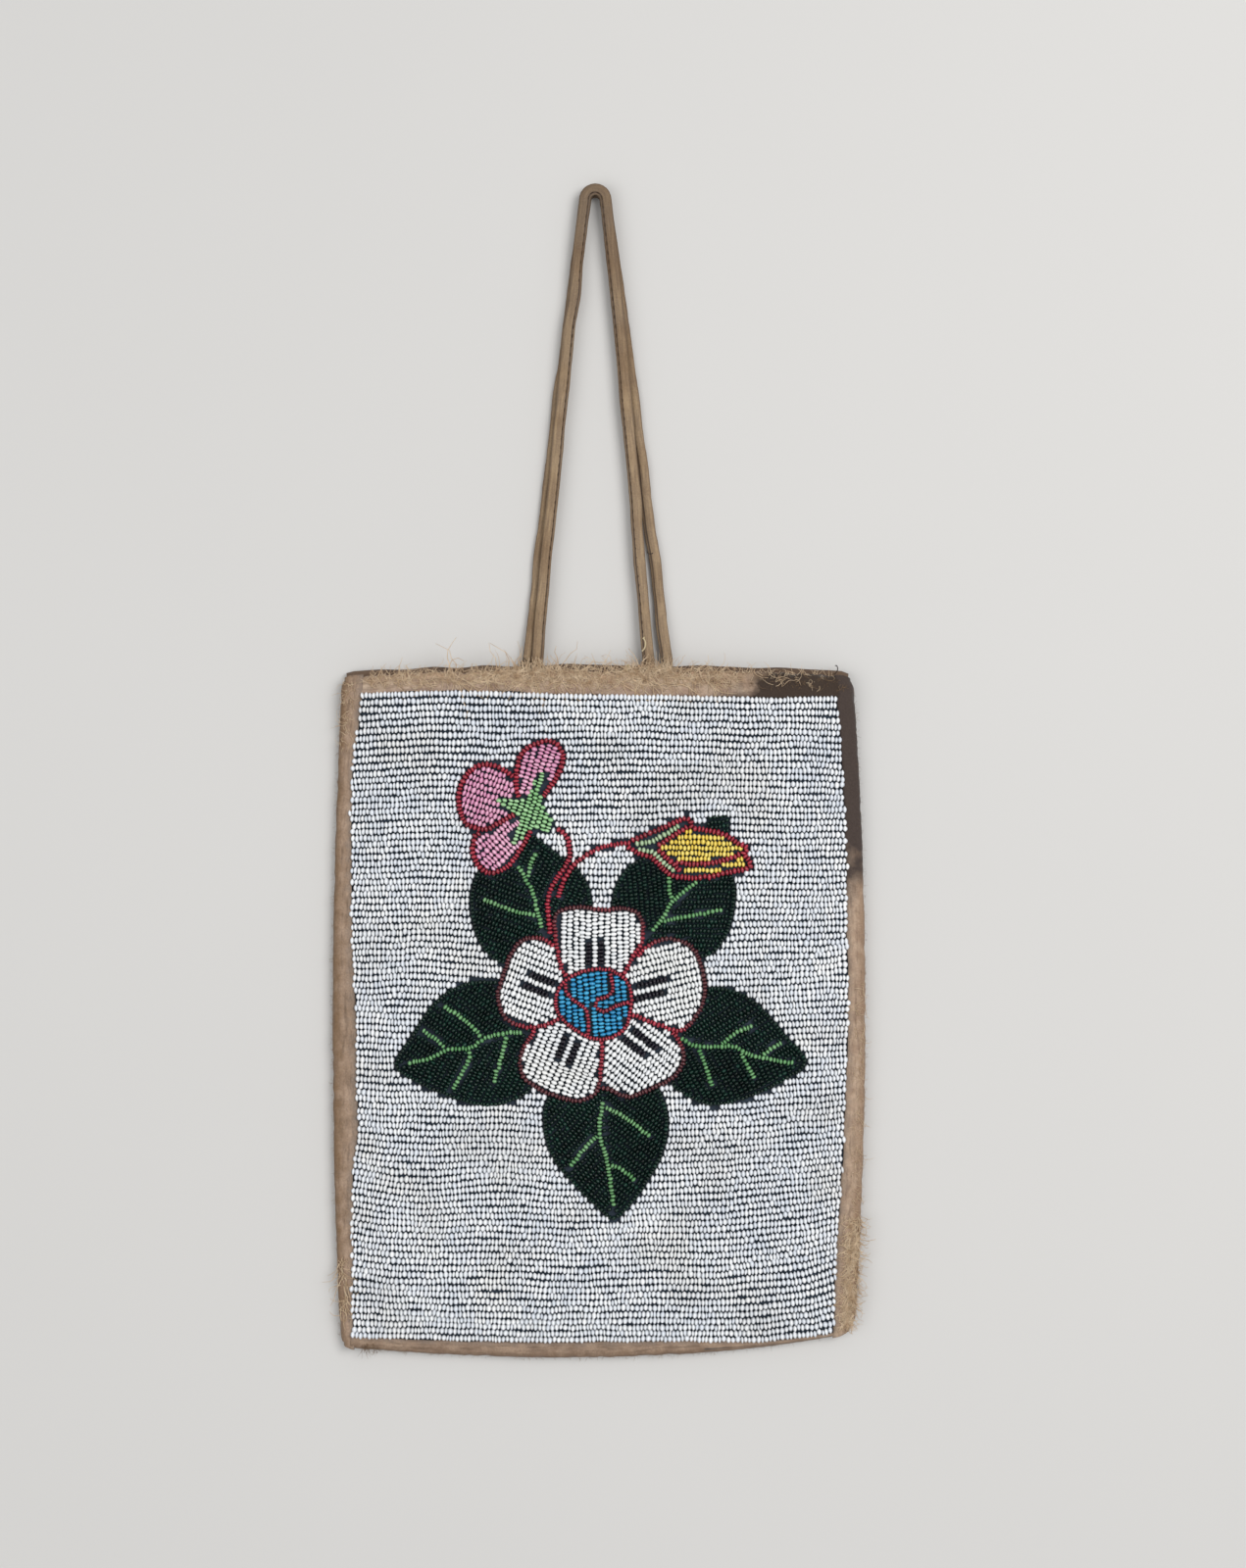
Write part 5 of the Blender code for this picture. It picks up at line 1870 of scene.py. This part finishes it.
@dataclass
class Straps:
    """The two straps of folded hide, sewn inside the mouth."""

    pouch: PouchSize
    size: StrapSize

    def route(self, feet: float, shift: float, foot_level: float, lie_level: float) -> Array:
        """Finds the middle line of a strap.

        Args:
            feet: The distance between its feet.
            shift: How far the feet stand to the right of the middle.
            foot_level: The strap's height inside the mouth.
            lie_level: Its height where it lies free.

        Returns:
            Rows of x, y and z from the left foot to the right one.
        """
        size, pouch = self.size, self.pouch
        mouth = pouch.place(np.array([pouch.top_width / 2]), np.array([pouch.side_height]))[1][0]
        loop_y = mouth + size.rise - size.loop_radius - size.width / 2
        foot_y = mouth + pouch.back_reach + pouch.gap
        part = np.linspace(0, 1, size.leg_steps)
        bulge = np.sin(part * math.pi) * size.bulge
        tucked = np.linspace(mouth - size.tuck, foot_y, size.tuck_steps)[:-1]
        rise = np.concatenate([tucked, foot_y + (loop_y - foot_y) * part])
        legs = []
        for side in (-1, 1):
            foot = side * feet / 2
            x = shift + foot + (size.loop_shift + side * size.loop_radius - shift - foot) * part
            x = x + side * bulge
            legs.append(np.stack([np.concatenate([np.full(len(tucked), x[0]), x]), rise], 1))
        turn = np.linspace(math.pi, 0, size.loop_steps)[1:-1]
        loop = np.stack([size.loop_shift + np.cos(turn) * size.loop_radius,
                         loop_y + np.sin(turn) * size.loop_radius], 1)
        line = np.concatenate([legs[0], loop, legs[1][::-1]])
        fall = np.clip((line[:, 1] - foot_y) / size.settle, 0, 1)
        level = foot_level + (lie_level - foot_level) * fall * fall * (3 - 2 * fall)
        return np.column_stack([line, level])

    def strap(self, name: str, line: Array, seed: int) -> Object:
        """Makes one strap: an oval of folded hide with a seam along its edge.

        Args:
            name: The object's name.
            line: Its middle line.
            seed: Where its small differences come from.

        Returns:
            The strap.
        """
        size = self.size
        soft, fine = SoftNoise(0.011, seed), SoftNoise(0.003, seed + 5)
        run = travelled(line)
        places = np.arange(0, run[-1], size.step)
        path = at_runs(line, run, places)
        ahead = unit(np.gradient(path, axis=0))
        aside = unit(np.cross(ahead, UPWARDS))
        up = np.cross(aside, ahead)
        where = places - size.middle
        path = path + aside * (soft.at(where, where * 0) * size.wave)[:, None]
        turn = np.arange(size.sides) * 2 * math.pi / size.sides
        width = size.width / 2 * (1 + soft.at(where, where * 0 + 0.05) * size.width_change)
        tall = size.thickness / 2 * (size.tall + soft.at(where, where * 0 + 0.1) * size.tall_change)
        across = np.sign(np.cos(turn)) * np.abs(np.cos(turn)) ** size.squareness
        rise = np.sign(np.sin(turn)) * np.abs(np.sin(turn)) ** size.squareness
        from_seam = turn - math.radians(size.seam_turn)
        seam = 1 - size.seam_depth * np.exp(-(from_seam / size.seam_width) ** 2)
        bumps = 1 + fine.at(where[:, None], turn[None] * 0.01) * size.bump
        wide, high = across * seam * width[:, None] * bumps, rise * seam * tall[:, None] * bumps
        ring = aside[:, None] * wide[..., None] + up[:, None] * high[..., None]
        corners = (path[:, None] + ring).reshape(-1, 3)
        obj = link_mesh(name, corners, tube_faces(len(path), size.sides))
        # Painted shade: darker towards the strap's rounded sides and in its seam groove.
        edge = np.abs(across) * size.edge_painted_shade
        edge = edge + size.seam_painted_shade * np.exp(-(from_seam / size.seam_painted_shade_width) ** 2)
        own = np.stack([np.tile(edge, len(path)), np.repeat(places, size.sides),
                        np.tile(rise * 0.3, len(path))], 1)
        set_colour(obj, "hide", own)
        return obj

    def build(self) -> None:
        """Makes both straps, and the stitches along the front strap's seam."""
        size, pouch = self.size, self.pouch
        under = size.thickness / 2 * size.flat_share
        over = 3 * under + pouch.gap
        # Brown hide, folded lengthwise and sewn.
        hide = HideFinish().build()
        back_line = self.route(size.back_feet, 0.0, pouch.cloth + pouch.gap + under, under)
        front_line = self.route(size.front_feet, size.front_shift,
                                pouch.plateau - pouch.edge - pouch.gap - under, over)
        for node, line, seed in (("strap_back", back_line, SEED + 11),
                                 ("strap_front", front_line, SEED + 12)):
            dress(self.strap(node + "_hide", line, seed), hide, [node])
        self.stitches(front_line)

    def stitches(self, line: Array) -> None:
        """Sews the front strap's seam with small stitches.

        Args:
            line: The strap's middle line.
        """
        size = self.size
        run = travelled(line)
        parts = np.array([0, size.stitch_length / 2, size.stitch_length])
        paths = []
        for start in np.arange(size.stitch_end, run[-1] - size.stitch_end, size.stitch_pitch):
            spots = at_runs(line, run, start + parts)
            aside = np.cross(unit(spots[2] - spots[0]), UPWARDS)
            spots = spots + aside * size.width * size.stitch_aside
            spots[:, 2] += size.thickness * np.array(size.stitch_rise)
            paths.append(spots)
        radii = [np.full(len(spots), size.stitch_radius) for spots in paths]
        obj = tube_mesh("strap_stitches", paths, radii, 4)
        # Dark brown sewing thread.
        finish = PlainFinish("Strap_Thread_Dark", "#3a2c20", "#5c4a36", 0.8)
        dress(obj, finish.build())


@dataclass(frozen=True)
class Fray:
    """A patch of loose fibres: where they start, how they lean and how long they are."""

    side: Side
    start: float
    end: float
    deep: tuple[float, float]
    count: int
    lean: float
    spread: float
    length: float
    curl: float = 0.28
    thick: float = 0.00007


# The directions in which fibres lean.
NORTH, SOUTH, WEST, EAST = math.pi / 2, -math.pi / 2, math.pi, 0.0

# The pale fibres at the worn mouth and corners, and the brown ones along the edges.

STRAW = (
    Fray(Side.TOP, 0.010, 0.128, (0.0002, 0.0052), 480, NORTH, 1.2, 0.0038, 0.35, 0.00014),
    Fray(Side.TOP, 0.050, 0.130, (0.0002, 0.0056), 340, EAST, 1.5, 0.0074, 0.42, 0.00016),
    Fray(Side.TOP, 0.008, 0.055, (0.0010, 0.0042), 110, EAST, 0.5, 0.0068, 0.3, 0.00015),
    Fray(Side.TOP, 0.030, 0.128, (0.0004, 0.0050), 70, EAST, 1.2, 0.0110, 0.38, 0.00024),
    Fray(Side.TOP, 0.010, 0.165, (0.0, 0.0008), 240, NORTH, 0.9, 0.0023, 0.4, 0.00011),
    Fray(Side.TOP, 0.058, 0.072, (0.0, 0.0014), 90, NORTH, 0.8, 0.0044, 0.35, 0.00013),
    Fray(Side.TOP, 0.094, 0.111, (0.0, 0.0014), 120, NORTH, 0.9, 0.0048, 0.35, 0.00013),
    Fray(Side.TOP, 0.125, 0.160, (0.0004, 0.0050), 60, NORTH, 1.2, 0.0038, 0.4, 0.00013),
    Fray(Side.LEFT, 0.010, 0.032, (0.0002, 0.0042), 40, SOUTH + 0.2, 0.8, 0.0052, 0.4, 0.00014),
    Fray(Side.LEFT, 0.014, 0.032, (0.0006, 0.0034), 9, SOUTH + 0.3, 0.35, 0.0090, 0.3, 0.00022),
    Fray(Side.RIGHT, 0.006, 0.036, (0.0008, 0.0046), 46, SOUTH - 0.2, 0.5, 0.0062, 0.4, 0.00022),
    Fray(Side.RIGHT, 0.002, 0.040, (0.0, 0.0046), 560, SOUTH, 0.8, 0.0038, 0.42, 0.00014),
    Fray(Side.RIGHT, 0.040, 0.120, (0.0, 0.0040), 130, SOUTH, 0.7, 0.0032, 0.35, 0.0001),
    Fray(Side.LEFT, 0.200, 0.223, (0.0, 0.0050), 70, WEST, 1.2, 0.0028, 0.4, 0.00011),
)
FLUFF = (
    Fray(Side.LEFT, 0.004, 0.220, (0.0, 0.0006), 210, WEST, 0.9, 0.0013, 0.5, 0.00005),
    Fray(Side.RIGHT, 0.004, 0.220, (0.0, 0.0006), 190, EAST, 0.9, 0.0012, 0.5, 0.00005),
    Fray(Side.BOTTOM, 0.008, 0.160, (0.0, 0.0006), 150, SOUTH, 0.9, 0.0012, 0.5, 0.00005),
    Fray(Side.BOTTOM, 0.007, 0.013, (0.0, 0.0030), 40, SOUTH, 0.5, 0.0030, 0.3, 0.00007),
    Fray(Side.TOP, 0.100, 0.168, (0.0, 0.0060), 130, NORTH, 1.3, 0.0026, 0.5, 0.00007),
)


@dataclass
class Fibres:
    """Loose fibres where the suede has worn."""

    pouch: PouchSize
    name: str
    finish: PlainFinish
    frays: Sequence[Fray]

    def __post_init__(self) -> None:
        """Starts the random numbers of these fibres."""
        self.rng = np.random.default_rng(SEED + 21 + len(self.name))

    def fibre(self, spot: Array, heading: float, length: float, curl: float) -> Array:
        """Finds the line of one fibre.

        Args:
            spot: Where it starts.
            heading: Its direction at the start.
            length: Its length.
            curl: How much it turns at each step.

        Returns:
            Rows of x, y and z.
        """
        count = 6
        turn = heading + np.cumsum(self.rng.normal(0, curl, count))
        turn = turn + self.rng.normal(0, curl * 0.7) * np.arange(count)
        step = length / (count - 1)
        x = spot[0] + np.concatenate([[0], np.cumsum(np.cos(turn[1:]) * step)])
        y = spot[1] + np.concatenate([[0], np.cumsum(np.sin(turn[1:]) * step)])
        lift = self.rng.uniform(0.0001, 0.0006)
        z = spot[2] + lift * np.sin(np.linspace(0, math.pi * 0.8, count))
        return np.stack([x, y, z], 1)

    def build(self) -> None:
        """Makes the fibres and dresses them."""
        size, rng = self.pouch, self.rng
        paths, radii = [], []
        for fray in self.frays:
            run = rng.uniform(fray.start, fray.end, fray.count)
            deep = rng.uniform(*fray.deep, fray.count)
            x, y = size.place(*size.rounded(*strip_spots(size, fray.side, run, deep)))
            over = strip_spots(size, fray.side, run, np.maximum(deep, size.edge))
            z = size.front_under(*over) + size.cloth + size.gap + size.strip_cloth
            z = z - np.clip(0.0009 - deep, 0, 1) * 1.2
            for spot in np.column_stack([x, y, z]):
                heading = fray.lean + rng.normal(0, fray.spread)
                length = fray.length * rng.uniform(0.45, 1.35)
                path = self.fibre(spot, heading, length, fray.curl)
                path[:, 2] = np.maximum(path[:, 2], LOWEST)
                paths.append(path)
                radii.append(fray.thick * rng.uniform(0.7, 1.2) * np.linspace(1, 0.35, len(path)))
        obj = tube_mesh(self.name, paths, radii, 3)
        dress(obj, self.finish.build())


@dataclass
class Threads:
    """The knotted ends of sewing thread that show at the mouth and on the strips."""

    pouch: PouchSize

    def curl(self, middle: tuple[float, float, float], radius: float, turns: float,
             drift: tuple[float, float], phase: float) -> Array:
        """Finds the line of a small loop of thread.

        Args:
            middle: The loop's middle.
            radius: The loop's radius.
            turns: How many times it goes round.
            drift: How far it moves in x and y as it goes round.
            phase: Where it starts, in radians.

        Returns:
            Rows of x, y and z.
        """
        t = np.linspace(0, 1, int(14 * turns) + 4)
        angle = phase + t * 2 * math.pi * turns
        x = middle[0] + np.cos(angle) * radius * (0.6 + 0.4 * t) + drift[0] * t
        y = middle[1] + np.sin(angle) * radius + drift[1] * t
        z = middle[2] + 0.0003 * np.sin(t * math.pi) + 0.00025 * t
        return np.stack([x, y, z], 1)

    def build(self) -> None:
        """Makes the pale knotted thread at the mouth and the dark ones beside it."""
        size = self.pouch
        top = size.plateau + size.cloth + size.edge + 0.0001
        side = size.side_height / 2
        mouth = side + size.top_arch
        pale = [
            self.curl((0.0093, mouth - 0.0003, top - 0.0004), 0.0007, 1.6, (0.0012, 0.0010), 0.4),
            self.curl((0.0152, mouth + 0.0052, top - 0.0022), 0.0006, 1.4, (0.0006, 0.0058), 2.0),
        ]
        dark = [
            self.curl((-0.0247, mouth + 0.0012, top - 0.0006), 0.0011, 1.1, (0.0003, 0.0010), 1.0),
            self.curl((0.0790, side + 0.0010, top - 0.0045), 0.0007, 0.9, (0.0010, 0.0022), 3.6),
            self.curl((0.0164, mouth + 0.0382, 0.0058), 0.0006, 0.8, (0.0016, 0.0008), 0.5),
        ]
        # Undyed and dark brown cotton thread.
        pale_finish = PlainFinish("Thread_Pale", "#cdbf9f", "#b5a27c", 0.85)
        dark_finish = PlainFinish("Thread_Dark", "#2b2320", "#43362c", 0.85)
        for name, paths, thick, finish in (("thread_pale", pale, 0.00022, pale_finish),
                                           ("thread_dark", dark, 0.00017, dark_finish)):
            obj = tube_mesh(name, paths, [np.full(len(p), thick) for p in paths], 6)
            dress(obj, finish.build())


# Studio

@dataclass(frozen=True)
class StudioSize:
    """The floor, the lights and the camera."""

    floor: float = 4.0
    floor_drop: float = 0.0002
    lens: float = 50.0
    sensor: float = 36.0
    camera: tuple[float, float, float] = (0.0085, 0.0762, 0.7312)
    key_spot: tuple[float, float, float] = (0.75, 0.45, 1.3)
    key_power: float = 15.6
    key_side: float = 0.9
    fill_spot: tuple[float, float, float] = (-0.9, -0.2, 1.2)
    fill_power: float = 7.0
    fill_side: float = 1.2
    sky_shade: str = "#eef0f2"
    sky_strength: float = 0.53


@dataclass
class Studio:
    """A plain pale floor, soft light and the camera that looks down on the bag."""

    size: StudioSize

    def light(self, name: str, spot: tuple[float, float, float], power: float,
              side: float) -> None:
        """Adds a soft square light that faces the bag.

        Args:
            name: The light's name.
            spot: Where it stands.
            power: Its power in watts.
            side: The length of its sides.
        """
        lamp = bpy.data.lights.new(name, "AREA")
        lamp.energy = power
        lamp.size = side
        obj = bpy.data.objects.new(name, lamp)
        x, y, z = spot
        obj.location = spot
        obj.rotation_euler = (math.atan2(math.hypot(x, y), z), 0, math.atan2(y, x) + math.pi / 2)
        bpy.context.scene.collection.objects.link(obj)

    def build(self) -> None:
        """Makes the floor, the lights, the sky and the camera."""
        size = self.size
        bpy.ops.object.select_all(action="DESELECT")
        bpy.ops.mesh.primitive_plane_add(size=size.floor, location=(0, 0, -size.floor_drop))
        floor = bpy.context.object
        floor.name = "floor"
        bpy.ops.object.transform_apply(location=True, rotation=False, scale=False)
        # Plain matt board.
        finish = PlainFinish("Floor_Pale", "#cdcbc8", "#cfcdca", 0.85, 0.3)
        floor.data.materials.append(finish.build())
        self.light("key_light", size.key_spot, size.key_power, size.key_side)
        self.light("fill_light", size.fill_spot, size.fill_power, size.fill_side)
        world = bpy.data.worlds.new("soft_sky")
        world.use_nodes = True
        sky = world.node_tree.nodes["Background"]
        sky.inputs["Color"].default_value = linear(size.sky_shade)
        sky.inputs["Strength"].default_value = size.sky_strength
        bpy.context.scene.world = world
        lens = bpy.data.cameras.new("camera")
        lens.lens = size.lens
        lens.sensor_width = size.sensor
        camera = bpy.data.objects.new("camera", lens)
        camera.location = size.camera
        bpy.context.scene.collection.objects.link(camera)
        bpy.context.scene.camera = camera
        bpy.context.scene.view_settings.view_transform = "Standard"


def build_strips(pouch: PouchSize) -> None:
    """Folds the strips of suede over the pouch's edges.

    Args:
        pouch: The pouch's sizes.
    """
    # Tan suede, darker where it was handled or got wet; each strip is from another piece of hide.
    left = SuedeFinish("Strip_Suede_Left", "#957d68", "#ae9580", "#82684f", "#8d7f74", "#3f342e")
    right = SuedeFinish("Strip_Suede_Right", "#a58b76", "#bfa68f", "#9a7f68", "#8f7f72", "#4b403b",
                        stain_from=0.056, stain_to=0.074)
    low = SuedeFinish("Strip_Suede_Bottom", "#8f7866", "#a8907b", "#7c6450", "#8a7b70", "#3f342e")
    hem = SuedeFinish("Hem_Suede", "#a98f7a", "#c9b29b", "#b99c80", "#9a8275", "#43372f",
                      stain_from=0.062, stain_to=0.074, stain_axis=0, blotch=0.004)
    Strip(pouch, StripSize(Side.LEFT, "binding_left"), left).build()
    Strip(pouch, StripSize(Side.RIGHT, "binding_right"), right).build()
    Strip(pouch, StripSize(Side.BOTTOM, "binding_bottom"), low).build()
    Strip(pouch, StripSize(Side.TOP, "hem_front", wander=0.0008), hem).build()


def build_fibres(pouch: PouchSize) -> None:
    """Frays the edges of the suede.

    Args:
        pouch: The pouch's sizes.
    """
    # Fibres of the suede itself, bleached at the worn edges and brown elsewhere.
    straw = PlainFinish("Fibre_Straw", "#b59879", "#dcc6a8", 0.8, 0.002)
    brown = PlainFinish("Fibre_Brown", "#6f5844", "#8f7558", 0.85, 0.002)
    Fibres(pouch, "straw_fibres", straw, STRAW).build()
    Fibres(pouch, "brown_fibres", brown, FLUFF).build()


def main() -> None:
    """Builds the dressed bag on its frame."""
    logging.basicConfig(level=logging.INFO, format="%(message)s")
    for obj in list(bpy.data.objects):
        bpy.data.objects.remove(obj, do_unlink=True)
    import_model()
    pouch = PouchSize()
    beadwork = Beadwork(pouch, BeadSize(), FlowerSize(), GroundSize())
    beadwork.build()
    beadwork.cast()
    Panels(pouch, PanelSize()).build()
    build_strips(pouch)
    Straps(pouch, StrapSize()).build()
    build_fibres(pouch)
    Threads(pouch).build()
    Studio(StudioSize()).build()


if __name__ == "__main__":
    main()
